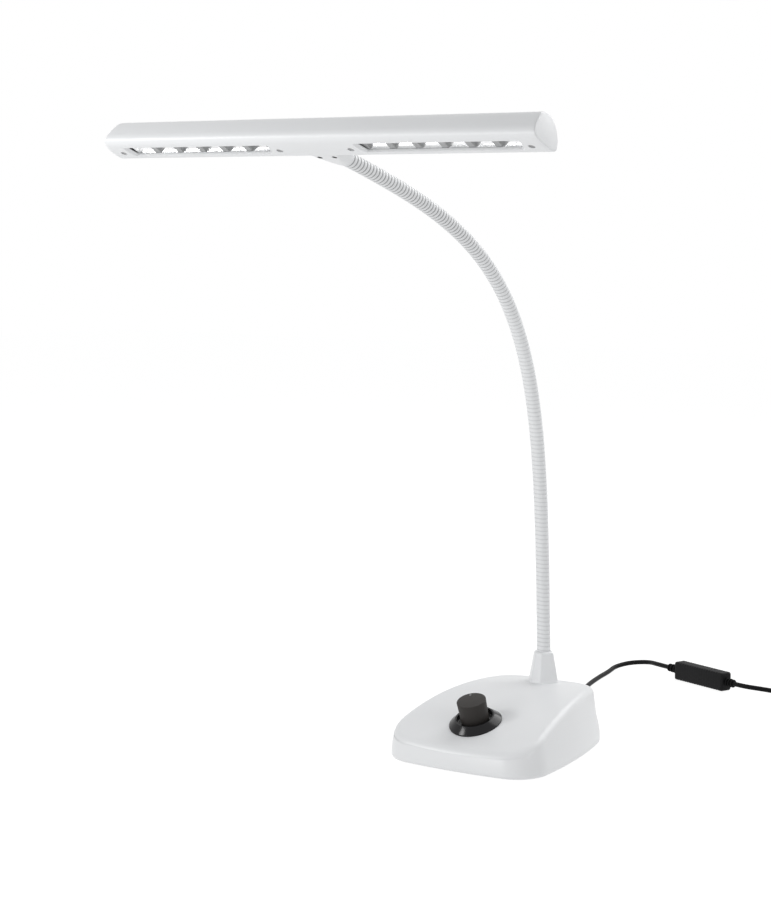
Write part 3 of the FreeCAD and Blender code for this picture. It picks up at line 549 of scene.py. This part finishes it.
def baseRings(inset, drop, rim, floor, plain, wallSteps=14, rimSteps=8, topSteps=16):
    # from the floor up the wall, round the rim and over the top to its middle
    outline, inner = baseOutline(0), baseOutline(base["nearInset"])
    ways = [(point - other) / base["nearInset"] for point, other in zip(outline, inner)]
    slant = math.atan(base["lean"])

    def moved(index, amount):
        return outline[index] - ways[index] * amount

    def wallAt(height):
        return inset + (base["lean"] * height if plain else wallInset(height))

    rings = [[] for _ in range(wallSteps + 1 + rimSteps)]
    for index in range(len(outline)):
        # the wall's top lies where the rim's arc begins
        rimY = outline[index].y - ways[index].y * (inset + rim)
        high = topHeight(rimY, drop) - rim * (1 - math.sin(slant))
        for step in range(wallSteps + 1):
            height = floor + (high - floor) * (step / wallSteps) ** base["gather"]
            place = moved(index, wallAt(height))
            rings[step].append(Vector((place.x, place.y, height)))
        for step in range(1, rimSteps + 1):
            angle = slant + (math.pi / 2 - slant) * step / rimSteps
            place = moved(index, wallAt(high) + rim * (math.cos(slant) - math.cos(angle)))
            level = topHeight(place.y, drop) - rim * (1 - math.sin(angle))
            rings[wallSteps + step].append(Vector((place.x, place.y, level)))
    rimRing, middleY = rings[-1], base["middleY"]
    for step in range(1, topSteps):
        share = 1 - step / topSteps
        ring = [Vector((point.x * share, middleY + (point.y - middleY) * share)) for point in rimRing]
        rings.append([Vector((point.x, point.y, topHeight(point.y, drop))) for point in ring])
    return rings


def baseShell():
    outside = baseRings(0, 0, base["rim"], base["floor"], False)
    inside = baseRings(base["wall"], base["wall"], base["rim"] - base["wall"], base["floor"], True)
    return skin("baseShell", [*reversed(inside), *outside], materials["white_shell"], sharp=50)


knob = {"y": -0.0421, "topRadius": 0.0105, "footRadius": 0.0100, "top": 0.0179, "foot": 0.0016,
        "crownThick": 0.0025, "shaft": 0.003, "hollow": 0.0072, "hollowTop": 0.0066,
        "edges": (0, 0, 0, 0, 0, 0.0002, 0.0004, 0.0005)}
knobSlope = math.asin((base["topCentreY"] - knob["y"]) / base["topRadius"])
knobPlace = Matrix.Translation((0, knob["y"], topHeight(knob["y"]))) @ Matrix.Rotation(knobSlope, 4, "X")


def baseHoles():
    # for the dimmer's bushing, the neck's stem and the lead
    white, reach = materials["white_shell"], holes["bushingReach"]
    stemPlace = upright((0, base["neckY"], holes["stemFrom"]))
    leadPlace = upright((leadExit.x, holes["leadFrom"], leadExit.z), (0, 1, 0))
    return [rod("bushingHole", knobPlace, holes["bushing"], -reach, reach, white),
            rod("stemHole", stemPlace, holes["stem"], 0, holes["stemReach"], white),
            rod("leadHole", leadPlace, holes["lead"], 0, holes["leadReach"], white)]


shell = cutBy(baseShell(), baseHoles(), sharp=50)
seat(shell, "base", "base_shell")
print("base made")

# dimmer
bezel = {"radius": 0.0190, "rim": 0.0008, "height": 0.0046, "mouth": 0.0133, "lip": 0.0009,
         "floor": 0.0010, "bore": 0.0039, "topTaper": 0.0002, "floorTaper": 0.0008,
         "edges": (0, 0.0001, 0.0004, 0.0005, 0.0003, 0.0004, 0)}


def addBezel():
    mouth, height = bezel["mouth"], bezel["height"]
    outline = [(bezel["bore"], 0), (bezel["radius"], 0), (bezel["radius"], bezel["rim"]),
               (mouth + bezel["lip"], height), (mouth - bezel["topTaper"], height),
               (mouth - bezel["floorTaper"], bezel["floor"]), (bezel["bore"], bezel["floor"])]

    def sag(x, y, level):
        # the skirt's foot follows the curved top of the base
        return -y ** 2 / (2 * base["topRadius"]) * max(0, 1 - level / height)

    outline = rounded(outline, bezel["edges"])
    return turned("dimmerBezel", outline, knobPlace, materials["black_gloss"], steps=128, lift=sag)


def addKnob():
    shaft, top, foot = knob["shaft"], knob["top"], knob["foot"]
    outline = [(0, top), (0, top - knob["crownThick"]), (shaft, top - knob["crownThick"]),
               (shaft, knob["hollowTop"]), (knob["hollow"], knob["hollowTop"]), (knob["hollow"], foot),
               (knob["footRadius"], foot), (knob["topRadius"], top)]
    return turned("dimmerKnob", rounded(outline, knob["edges"]), knobPlace, materials["knob_dark"], sharp=40)


seat(addBezel(), "base", "bezel")
seat(addKnob(), "knob", "knob")
print("dimmer made")

# neck
neck = {"radius": 0.0050, "lean": 1.2, "sweep": 73.6, "middle": 0.2686, "softness": 0.054,
        "length": 0.484, "links": 12, "firstJoint": 0.004, "socketHeight": 0.0204, "into": 0.004,
        "tip": 0.022, "bendReach": 0.012, "overlap": 0.0012, "tuck": 0.00015, "step": 0.0004,
        "around": 40}
ribs = {"pitch": 0.00309, "stretch": 0.0022, "bent": 0.265, "groove": 0.0006, "narrowness": 2.8,
        "closed": 0.26, "openAtBend": 0.2, "opening": 0.130}


def neckAngle(length):
    # how far the neck leans forward at this length, in one smooth bend
    bend = 1 / (1 + math.exp(-(length - neck["middle"]) / neck["softness"]))
    return math.radians(neck["lean"] + neck["sweep"] * bend)


def neckPoint(length, step=0.001):
    # walks along the neck from the top of its socket
    point = Vector((0, base["neckY"], topHeight(base["neckY"]) + neck["socketHeight"]))
    count = max(1, round(abs(length) / step))
    for index in range(count):
        angle = neckAngle(length * (index + 0.5) / count)
        point += Vector((0, -math.sin(angle), math.cos(angle))) * (length / count)
    return point


def neckJoint(index):
    return neck["firstJoint"] + (neck["length"] - 2 * neck["firstJoint"]) * index / neck["links"]


def ribDepth(length, angle):
    # a wound strip: rounded crests with a narrow groove between them, further apart where the neck bends
    beyond = length - ribs["bent"]
    turns = min(length, ribs["bent"]) / ribs["pitch"]
    turns += math.log(1 + ribs["stretch"] * max(0, beyond) / ribs["pitch"]) / ribs["stretch"]
    phase = (turns + angle / (2 * math.pi)) % 1
    spread = min(1, max(0, beyond / ribs["opening"] + ribs["openAtBend"]))
    openness = ribs["closed"] + (1 - ribs["closed"]) * spread
    return openness * max(0, math.cos(2 * math.pi * phase)) ** ribs["narrowness"]


def neckPiece(name, start, end, tuckFrom=math.inf):
    # a stretch of the neck, a little thinner from tuckFrom on
    step = neck["step"]
    first, last = math.floor(start / step + 0.5), math.floor(end / step + 0.5)
    centre = neckPoint(first * step)
    rings, grooveShadeDepths = [], []
    for number in range(first, last + 1):
        length = number * step
        slope = neckAngle(length)
        outward = Vector((0, math.cos(slope), math.sin(slope)))
        ring = []
        for angle in circle(neck["around"]):
            depth = ribDepth(length, angle)
            radius = neck["radius"] - ribs["groove"] * depth - (neck["tuck"] if length > tuckFrom else 0)
            sideways = Vector((radius * math.cos(angle), 0, 0))
            ring.append(centre + sideways + outward * (radius * math.sin(angle)))
            grooveShadeDepths.append(depth)
        rings.append(ring)
        slope = neckAngle(length + step / 2)
        centre = centre + Vector((0, -math.sin(slope), math.cos(slope))) * step
    piece = skin(name, rings, materials["white_neck"], sharp=80)
    # the groove depth of each point, which drives the painted shade in the grooves
    groove = piece.data.attributes.new("groove", "FLOAT", "POINT")
    groove.data.foreach_set("value", grooveShadeDepths)
    return piece


def addNeck():
    links = neck["links"]
    bodies = ["base"] + ["neck_link_%02d" % number for number in range(1, links + 1)] + ["head"]
    joints = [neckJoint(index) for index in range(links + 1)]
    between = [(low + high) / 2 for low, high in zip(joints, joints[1:])]
    cuts = [-neck["into"], *between, neck["length"] + neck["tip"]]
    for index, joint in enumerate(joints[:-1]):
        piece = neckPiece("neck_%02d" % index, cuts[index], cuts[index + 1])
        reach = min(neck["bendReach"], joint + neck["into"] / 2) if index == 0 else neck["bendReach"]
        neckPoint(joint - reach)
        neckPoint(joint + reach)
        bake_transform(piece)
        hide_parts("neck_foot" if index == 0 else "neck_link_%02d" % index)
    # the last bend is a plain hinge: one end is tucked into the other
    near, far = joints[-1] - neck["overlap"], joints[-1] + neck["overlap"]
    seat(neckPiece("neck_%02d" % links, cuts[-2], far, tuckFrom=near), bodies[-2], bodies[-2])
    seat(neckPiece("neckTip", near, cuts[-1]), "head", "neck_tip")


addNeck()
print("neck made")

# neck socket
socket = {"footRadius": 0.0130, "topRadius": 0.0083, "height": 0.0228, "narrow": 0.66, "edge": 0.0024,
          "crown": 0.0022, "flare": 0.0016, "sunk": 0.0003, "bore": 0.00505, "boreDepth": 0.014,
          "mouthRound": 0.0003, "mouthDepth": 0.0006, "flareSteps": 5, "wallSteps": 6, "crownSteps": 7}


def hexOutline(radius):
    # its front and back faces are narrower than the other four
    corners = []
    for side in range(6):
        x, y = radius * math.cos(math.radians(60 * side)), radius * math.sin(math.radians(60 * side))
        corners.append((x if side % 3 == 0 else x * socket["narrow"], y))
    return rounded(corners, socket["edge"], steps=6)


def addSocket():
    foot, height = topHeight(base["neckY"]), socket["height"]
    flare, crown = socket["flare"], socket["crown"]
    taper = (socket["footRadius"] - socket["topRadius"]) / height
    rings = []

    def tier(level, radius):
        # the lowest tiers lie on the curved top of the base
        share = max(0, 1 - level / height)
        ring = []
        for point in hexOutline(radius):
            y = base["neckY"] + point.y
            ring.append(Vector((point.x, y, foot + level + share * (topHeight(y) - foot))))
        rings.append(ring)

    for step in range(socket["flareSteps"] + 1):
        angle = math.pi / 2 * step / socket["flareSteps"]
        level = flare * (1 - math.cos(angle)) - socket["sunk"]
        tier(level, socket["footRadius"] - taper * level + flare * (1 - math.sin(angle)))
    wallTop = height - crown
    for step in range(1, socket["wallSteps"] + 1):
        level = flare + (wallTop - flare) * step / socket["wallSteps"]
        tier(level, socket["footRadius"] - taper * level)
    last = socket["footRadius"] - taper * wallTop
    for step in range(1, socket["crownSteps"] + 1):
        angle = math.pi / 2 * step / socket["crownSteps"]
        tier(wallTop + crown * math.sin(angle), last - crown * (1 - math.cos(angle)))
    mouth = rings[-1]
    for depth, radius in ((0, socket["bore"] + socket["mouthRound"]), (socket["mouthDepth"], socket["bore"]),
                          (socket["boreDepth"], socket["bore"])):
        middle = Vector((0, base["neckY"], foot + height - depth))
        ways = [Vector((point.x, point.y - base["neckY"], 0)).normalized() for point in mouth]
        rings.append([middle + way * radius for way in ways])
    return skin("neckSocket", rings, materials["white_shell"], sharp=60)


seat(addSocket(), "base", "neck_socket")
print("socket made")

# head
head = {"y": -0.2413, "z": 0.4342, "pitch": 26.8, "half": 0.1624, "slant": 0.2, "heading": 82.5,
        "arch": ((0.0385, 24.2), (0.0103, 111.1), (0.0173, 45.5)), "rearRound": 0.0040,
        "frontRound": 0.0048, "frontSteps": 12, "bow": 0.0015, "wall": 0.0018, "cover": 0.0020,
        "seam": 0.00002, "cap": 0.0030, "capEdge": 0.0009, "capSteps": 5}
headTilt = Matrix.Rotation(math.radians(-head["pitch"]), 4, "X")
headPlace = Matrix.Translation((0, head["y"], head["z"])) @ headTilt


def headPoint(x, u, n):
    # x along the head, u backwards along its underside and n up from it
    return headPlace @ Vector((x, u, n))


def archPoints(inset, steps=14):
    # over the top from the front edge to the rear corner, as (u, n), and the corner's centre
    heading = math.radians(head["heading"])
    inward = Vector((math.sin(heading), -math.cos(heading)))
    point = inward * inset
    points = [point]
    for radius, turn in head["arch"]:
        centre = point + inward * (radius - inset)
        spoke = point - centre
        for step in range(1, steps + 1):
            rotation = Matrix.Rotation(-math.radians(turn) * step / steps, 2)
            points.append(centre + rotation @ spoke)
        inward = Matrix.Rotation(-math.radians(turn), 2) @ inward
        point = points[-1]
    return points, point + inward * (head["rearRound"] - inset)


outerArch, rearCentre = archPoints(0)
underside = rearCentre.x + math.sqrt(head["rearRound"] ** 2 - rearCentre.y ** 2)
bowRadius = (underside ** 2 / 4 + head["bow"] ** 2) / (2 * head["bow"])
bowCentre = Vector((underside / 2, bowRadius - head["bow"]))


def rise(point):
    # how far a point of the section lies inside the underside
    return bowRadius - (point - bowCentre).length


def bowPoints(inside, start, end, steps=24):
    # along the underside, or this far inside it, between two lengths u
    points = []
    for step in range(steps + 1):
        u = start + (end - start) * step / steps
        drop = math.sqrt((bowRadius - inside) ** 2 - (u - bowCentre.x) ** 2)
        points.append(Vector((u, bowCentre.y - drop)))
    return points


def wholeOutline():
    # the section, with the sharp corner between the arch and the underside turned into a soft edge
    corner = arcPoints(rearCentre, head["rearRound"], outerArch[-1], Vector((underside, 0)), 6)[1:]
    outline = [*outerArch, *corner, *bowPoints(0, underside, 0)[:-1]]
    kept = [point for point in outline if point.length > head["frontRound"]]
    start, end = kept[-1], kept[0]
    shares = [step / head["frontSteps"] for step in range(1, head["frontSteps"])]
    return [*kept, *(start * (1 - share) ** 2 + end * share ** 2 for share in shares)]


def partOutline(outline, level, above):
    # the stretch of an outline that lies above or below a level, with its ends on the level
    kept = []
    count = len(outline)
    wanted = [(rise(point) > level) == above for point in outline]
    start = next(index for index in range(count) if wanted[index] and not wanted[index - 1])
    for offset in range(-1, count):
        index = (start + offset) % count
        following = (index + 1) % count
        if wanted[index]:
            kept.append(outline[index])
        if wanted[index] != wanted[following]:
            low, high = rise(outline[index]), rise(outline[following])
            kept.append(outline[index].lerp(outline[following], (level - low) / (high - low)))
            if len(kept) > 1:
                break
    return kept


def endReach(point, extra=0):
    # where the slanted end plane meets this point of the section
    pitch = math.radians(head["pitch"])
    level = -point.x * math.sin(pitch) + point.y * math.cos(pitch)
    return head["half"] + extra - head["slant"] * level


def alongHead(name, outline, stations):
    # a bar of this section from one slanted end plane to the other
    rings = []
    for station in range(stations + 1):
        share = 2 * station / stations - 1
        rings.append([headPoint(endReach(point) * share, point.x, point.y) for point in outline])
    return skin(name, rings, materials["white_shell"])


def shellOutline():
    level = head["cover"] + head["seam"]
    outside = partOutline(wholeOutline(), level, True)
    innerArch, _ = archPoints(head["wall"])
    inside = [point for point in innerArch if rise(point) > level]
    lowFront = bowPoints(level, inside[0].x, inside[0].x, 1)[0]
    lowRear = bowPoints(level, inside[-1].x, inside[-1].x, 1)[0]
    return outside + [lowRear, *reversed(inside), lowFront]


def coverOutline():
    outside = partOutline(wholeOutline(), head["cover"], False)
    return outside + bowPoints(head["cover"], outside[-1].x, outside[0].x)[1:-1]


window = {"front": 0.0070, "rear": 0.0186, "near": (0.0325, 0.0357), "far": (0.1528, 0.1507),
          "bevel": 0.0018, "bevelDepth": 0.0016, "corner": 0.0008, "below": 0.004, "above": 0.01}
coverScrew = {"places": (-0.1572, -0.0276, 0.0276, 0.1572), "u": 0.0142, "hole": 0.00135, "head": 0.00225,
              "recess": 0.0021, "reach": 0.01}


def windowCutter(side):
    # each opening narrows inwards by a bevel at its two ends
    near, far, bevel = window["near"], window["far"], window["bevel"]
    rings = []
    for shrink, level in ((0, -window["below"]), (0, -head["bow"]),
                          (bevel, window["bevelDepth"] - head["bow"]), (bevel, window["above"])):
        corners = [(near[0] + shrink, window["front"]), (far[0] - shrink, window["front"]),
                   (far[1] - shrink, window["rear"]), (near[1] + shrink, window["rear"])]
        outline = rounded(corners, window["corner"], steps=4)
        rings.append([headPoint(side * point.x, point.y, level) for point in outline])
    return skin("window", rings, materials["white_shell"])


def addCover():
    cover = alongHead("headCover", coverOutline(), 1)
    cutters = [windowCutter(side) for side in (-1, 1)]
    for x in coverScrew["places"]:
        place = headPlace @ Matrix.Translation((x, coverScrew["u"], -head["bow"]))
        for name, radius, high in (("hole", coverScrew["hole"], coverScrew["reach"]),
                                   ("seat", coverScrew["head"], coverScrew["recess"])):
            cutters.append(rod(name, place, radius, -coverScrew["reach"], high, materials["white_shell"]))
    return cutBy(cover, cutters)


def addCap(side):
    # the end plate, with a rounded outer edge
    outline = wholeOutline()
    centre = sum(outline, Vector((0, 0))) / len(outline)
    rings = []
    steps = head["capSteps"]
    for step in range(steps + 2):
        angle = math.pi / 2 * max(0, step - 1) / steps
        inset = head["capEdge"] * (1 - math.cos(angle))
        out = 0 if step == 0 else head["cap"] - head["capEdge"] * (1 - math.sin(angle))
        ring = []
        for point in outline:
            moved = point + (centre - point).normalized() * inset
            ring.append(headPoint(side * endReach(moved, out), moved.x, moved.y))
        rings.append(ring)
    return skin("endCapRight" if side > 0 else "endCapLeft", rings, materials["white_shell"], sharp=50)


cups = {"count": 6, "first": 0.0366, "pitch": 0.01903, "from": 0.0349, "to": 0.1491, "front": 0.0062,
        "rear": 0.0194, "seat": 0.0013, "height": 0.0066, "wall": 0.0007, "end": 0.0002, "web": 0.0044,
        "corner": 0.0004, "floor": 0.001, "inset": 0.0030, "curve": 1.3, "steps": 6, "hollow": 0.0004,
        "webSteps": 10, "below": 0.002}
chips = {"half": 0.00165, "first": 0.04525, "pitch": 0.0187, "below": 0.0002, "above": 0.001}


def addCups(side):
    # a bright block with a trough, open downwards, whose front and rear walls spread towards the mouth
    low, high = cups["seat"], cups["seat"] + cups["height"]
    middle = (cups["front"] + cups["rear"]) / 2

    def box(start, end, front, rear, level):
        corners = rounded([(start, front), (end, front), (end, rear), (start, rear)], cups["corner"],
                          steps=3)
        return [headPoint(side * point.x, point.y, level) for point in corners]

    def block(name, tiers):
        return skin(name, [box(*tier) for tier in tiers], materials["reflector"])

    body = block("reflectorRight" if side > 0 else "reflectorLeft",
                 [(cups["from"], cups["to"], cups["front"], cups["rear"], level) for level in (low, high)])
    start, end = cups["from"] + cups["end"], cups["to"] - cups["end"]
    tiers = []
    for step in range(cups["steps"] + 1):
        share = step / cups["steps"]
        across = (cups["rear"] - cups["front"]) / 2 - cups["wall"] - cups["inset"] * share ** cups["curve"]
        level = low + (cups["height"] - cups["floor"]) * share
        tiers.append((start, end, middle - across, middle + across, level))
    cutters = [block("trough", [(*tiers[0][:4], low - cups["below"]), *tiers])]
    roof = high - cups["floor"]
    # a square hole in the roof over each chip
    for index in range(cups["count"]):
        centre, half = chips["first"] + index * chips["pitch"], chips["half"]
        cutters.append(block("chipHole", [(centre - half, centre + half, middle - half, middle + half, level)
                                          for level in (roof - chips["below"], high + chips["above"])]))
    return cutBy(body, cutters)


def addWebs(side, parent):
    # the partitions between the cups, in a flat grey that paints the shade on their walls, hollowed along
    # their lower edge
    for index in range(cups["count"]):
        middle = cups["first"] + index * cups["pitch"]
        half = cups["web"] / 2
        outline = []
        for step in range(cups["webSteps"] + 1):
            share = step / cups["webSteps"]
            u = cups["front"] + cups["wall"] + (cups["rear"] - cups["front"] - 2 * cups["wall"]) * share
            outline.append((u, cups["seat"] + cups["hollow"] * 4 * share * (1 - share)))
        roof = cups["seat"] + cups["height"] - cups["floor"]
        outline += [(outline[-1][0], roof), (outline[0][0], roof)]
        rings = [[headPoint(side * x, u, level) for u, level in outline]
                 for x in (max(middle - half, cups["from"]), middle + half)]
        web = skin("cupWeb", rings, materials["reflectorWebShade"])
        web.parent = parent


for side, node in ((1, "reflector_right"), (-1, "reflector_left")):
    addWebs(side, seat(addCups(side), "head", node))
seat(alongHead("headShell", shellOutline(), 24), "head", "head_shell")
seat(addCover(), "head", "head_cover")
seat(addCap(1), "head", "end_cap_right")
seat(addCap(-1), "head", "end_cap_left")
print("head made")

# neck holder
holder = {"rear": 0.4914, "lip": 0.0060, "edge": 0.0005, "ball": 0.0190, "ballU": 0.0150,
          "ballDepth": 0.0049, "around": 96, "along": 14, "inHead": 4, "flatSlope": 0.17,
          "flatStart": -0.0001, "hidden": 0.0004, "recesses": (-0.0057, 0.0057), "recessU": 0.0274,
          "recess": 0.0019, "recessDepth": 0.0056, "below": 0.02, "sunk": 0.0005, "play": 0.0001}


def holderFlat(u):
    # the level of the flat underside of the fairing, which carries on from the head's own
    flat = holder["flatStart"] + holder["flatSlope"] * (u - underside)
    if u > underside:
        return flat
    return max(flat, bowCentre.y - math.sqrt(bowRadius ** 2 - (u - bowCentre.x) ** 2) + holder["hidden"])


def addHolder():
    # a cone that grows from a lip round the neck until it is inside the head, made flat below
    start = neckPoint(holder["rear"])
    slope = neckAngle(holder["rear"])
    upward = Vector((0, math.cos(slope), math.sin(slope)))
    centre = headPoint(0, holder["ballU"], holder["ball"] - holder["ballDepth"])
    axis = centre - start
    reach = axis.length
    axis.normalize()
    across = axis.cross(Vector((1, 0, 0)))
    tilt = math.asin((holder["ball"] - holder["lip"]) / reach)
    touch = Vector((holder["ball"] * math.cos(tilt), reach - holder["ball"] * math.sin(tilt)))
    lip = Vector((holder["lip"], holder["edge"]))
    profile = [Vector((holder["lip"] - holder["edge"], 0)), *(lip.lerp(touch, step / holder["along"])
                                                            for step in range(holder["along"]))]
    for step in range(holder["inHead"] + 1):
        angle = -tilt * (1 - step / holder["inHead"])
        profile.append(Vector((holder["ball"] * math.cos(angle), reach + holder["ball"] * math.sin(angle))))
    rings = []
    for radius, along in profile:
        ring = []
        for angle in circle(holder["around"]):
            point = start + axis * along + Vector((radius * math.cos(angle), 0, 0))
            point += across * (radius * math.sin(angle))
            point -= upward * max(0, (point - start).dot(upward) - holder["lip"])
            x, u, level = headPlace.inverted() @ point
            ring.append(headPoint(x, u, max(level, holderFlat(u))))
        rings.append(ring)
    fairing = skin("neckHolder", rings, materials["white_shell"], sharp=60)
    # two screw heads, each a little below the mouth of its recess
    radius, depth = holder["recess"], holder["recessDepth"]
    places = [headPlace @ Matrix.Translation((x, holder["recessU"], 0)) for x in holder["recesses"]]
    cutBy(fairing, [rod("recess", place, radius, -holder["below"], depth, materials["white_shell"])
                    for place in places], sharp=60, folded=True)
    floor = holderFlat(holder["recessU"]) + holder["sunk"]
    for place in places:
        screw = rod("holderScrew", place, radius - holder["play"], floor, depth, materials["moulded_black"])
        screw.parent = fairing
    return fairing


seat(addHolder(), "head", "neck_holder")
print("holder made")

# light and room
lights = {
    "key": {"at": (-0.65, -0.85, 0.60), "size": 0.28, "watts": 3.5},
    "front": {"at": (-0.45, -1.50, 0.18), "size": 0.34, "watts": 3.8},
    "back": {"at": (0.3, 0.9, 1.2), "size": 1.2, "watts": 13.0},
    "side": {"at": (1.9, -0.5, 0.7), "size": 1.2, "watts": 7.0},
}
room = {"sky": (0.985, 0.99, 1.0), "skyGlow": 0.34, "floorGlow": 0.61, "seenGlow": 0.93, "paint": 0.2,
        "paintRough": 0.9, "size": 4.0, "level": -0.0004, "lampsAimAt": (0, 0, 0.2)}
seenBy = ("Is Camera Ray", "Is Glossy Ray", "Is Transmission Ray")


def addLights():
    for name, light in lights.items():
        data = bpy.data.lights.new(name, "AREA")
        data.energy = light["watts"]
        data.size = light["size"]
        lamp = bpy.data.objects.new(name, data)
        lamp.location = light["at"]
        aim = Vector(room["lampsAimAt"]) - lamp.location
        lamp.rotation_euler = aim.to_track_quat("-Z", "Y").to_euler()
        scene.collection.objects.link(lamp)


def seenFactor(material):
    # 1 for the rays that show the background plainly, and 0 for those that carry light
    build, link = material.node_tree.nodes.new, material.node_tree.links.new
    path = build("ShaderNodeLightPath")
    total = path.outputs[seenBy[0]]
    for kind in seenBy[1:]:
        both = build("ShaderNodeMath")
        both.operation = "MAXIMUM"
        link(total, both.inputs[0])
        link(path.outputs[kind], both.inputs[1])
        total = both.outputs[0]
    return total


def addWorld():
    # plain white to the eye and in reflections, and a softer white as light
    world = bpy.data.worlds.new("room")
    scene.world = world
    world.use_nodes = True
    build, link = world.node_tree.nodes.new, world.node_tree.links.new
    shade = world.node_tree.nodes["Background"]
    seen, mix = build("ShaderNodeBackground"), build("ShaderNodeMixShader")
    shade.inputs["Color"].default_value = (*room["sky"], 1)
    shade.inputs["Strength"].default_value = room["skyGlow"]
    seen.inputs["Color"].default_value = (1, 1, 1, 1)
    seen.inputs["Strength"].default_value = 1.0
    link(seenFactor(world), mix.inputs["Fac"])
    link(shade.outputs[0], mix.inputs[1])
    link(seen.outputs[0], mix.inputs[2])
    link(mix.outputs[0], world.node_tree.nodes["World Output"].inputs["Surface"])


def addFloor():
    # glows nearly white, and its paint adds the rest where no shadow falls
    material = bpy.data.materials.new("floor")
    material.use_nodes = True
    build, link = material.node_tree.nodes.new, material.node_tree.links.new
    paint = material.node_tree.nodes["Principled BSDF"]
    paint.inputs["Base Color"].default_value = (room["paint"],) * 3 + (1,)
    paint.inputs["Roughness"].default_value = room["paintRough"]
    paint.inputs["Specular IOR Level"].default_value = 0
    glow, both = build("ShaderNodeEmission"), build("ShaderNodeAddShader")
    strength = build("ShaderNodeMapRange")
    link(seenFactor(material), strength.inputs["Value"])
    strength.inputs["To Min"].default_value = room["floorGlow"]
    strength.inputs["To Max"].default_value = room["seenGlow"]
    link(strength.outputs[0], glow.inputs["Strength"])
    link(paint.outputs[0], both.inputs[0])
    link(glow.outputs[0], both.inputs[1])
    link(both.outputs[0], material.node_tree.nodes["Material Output"].inputs["Surface"])
    size, level = room["size"], room["level"]
    corners = [(-size, -size, level), (size, -size, level), (size, size, level), (-size, size, level)]
    meshPiece("floor", corners, [(0, 1, 2, 3)], material)


addLights()
addWorld()
addFloor()
scene.view_settings.view_transform = "Standard"
print("lights set")

bpy.context.view_layer.update()
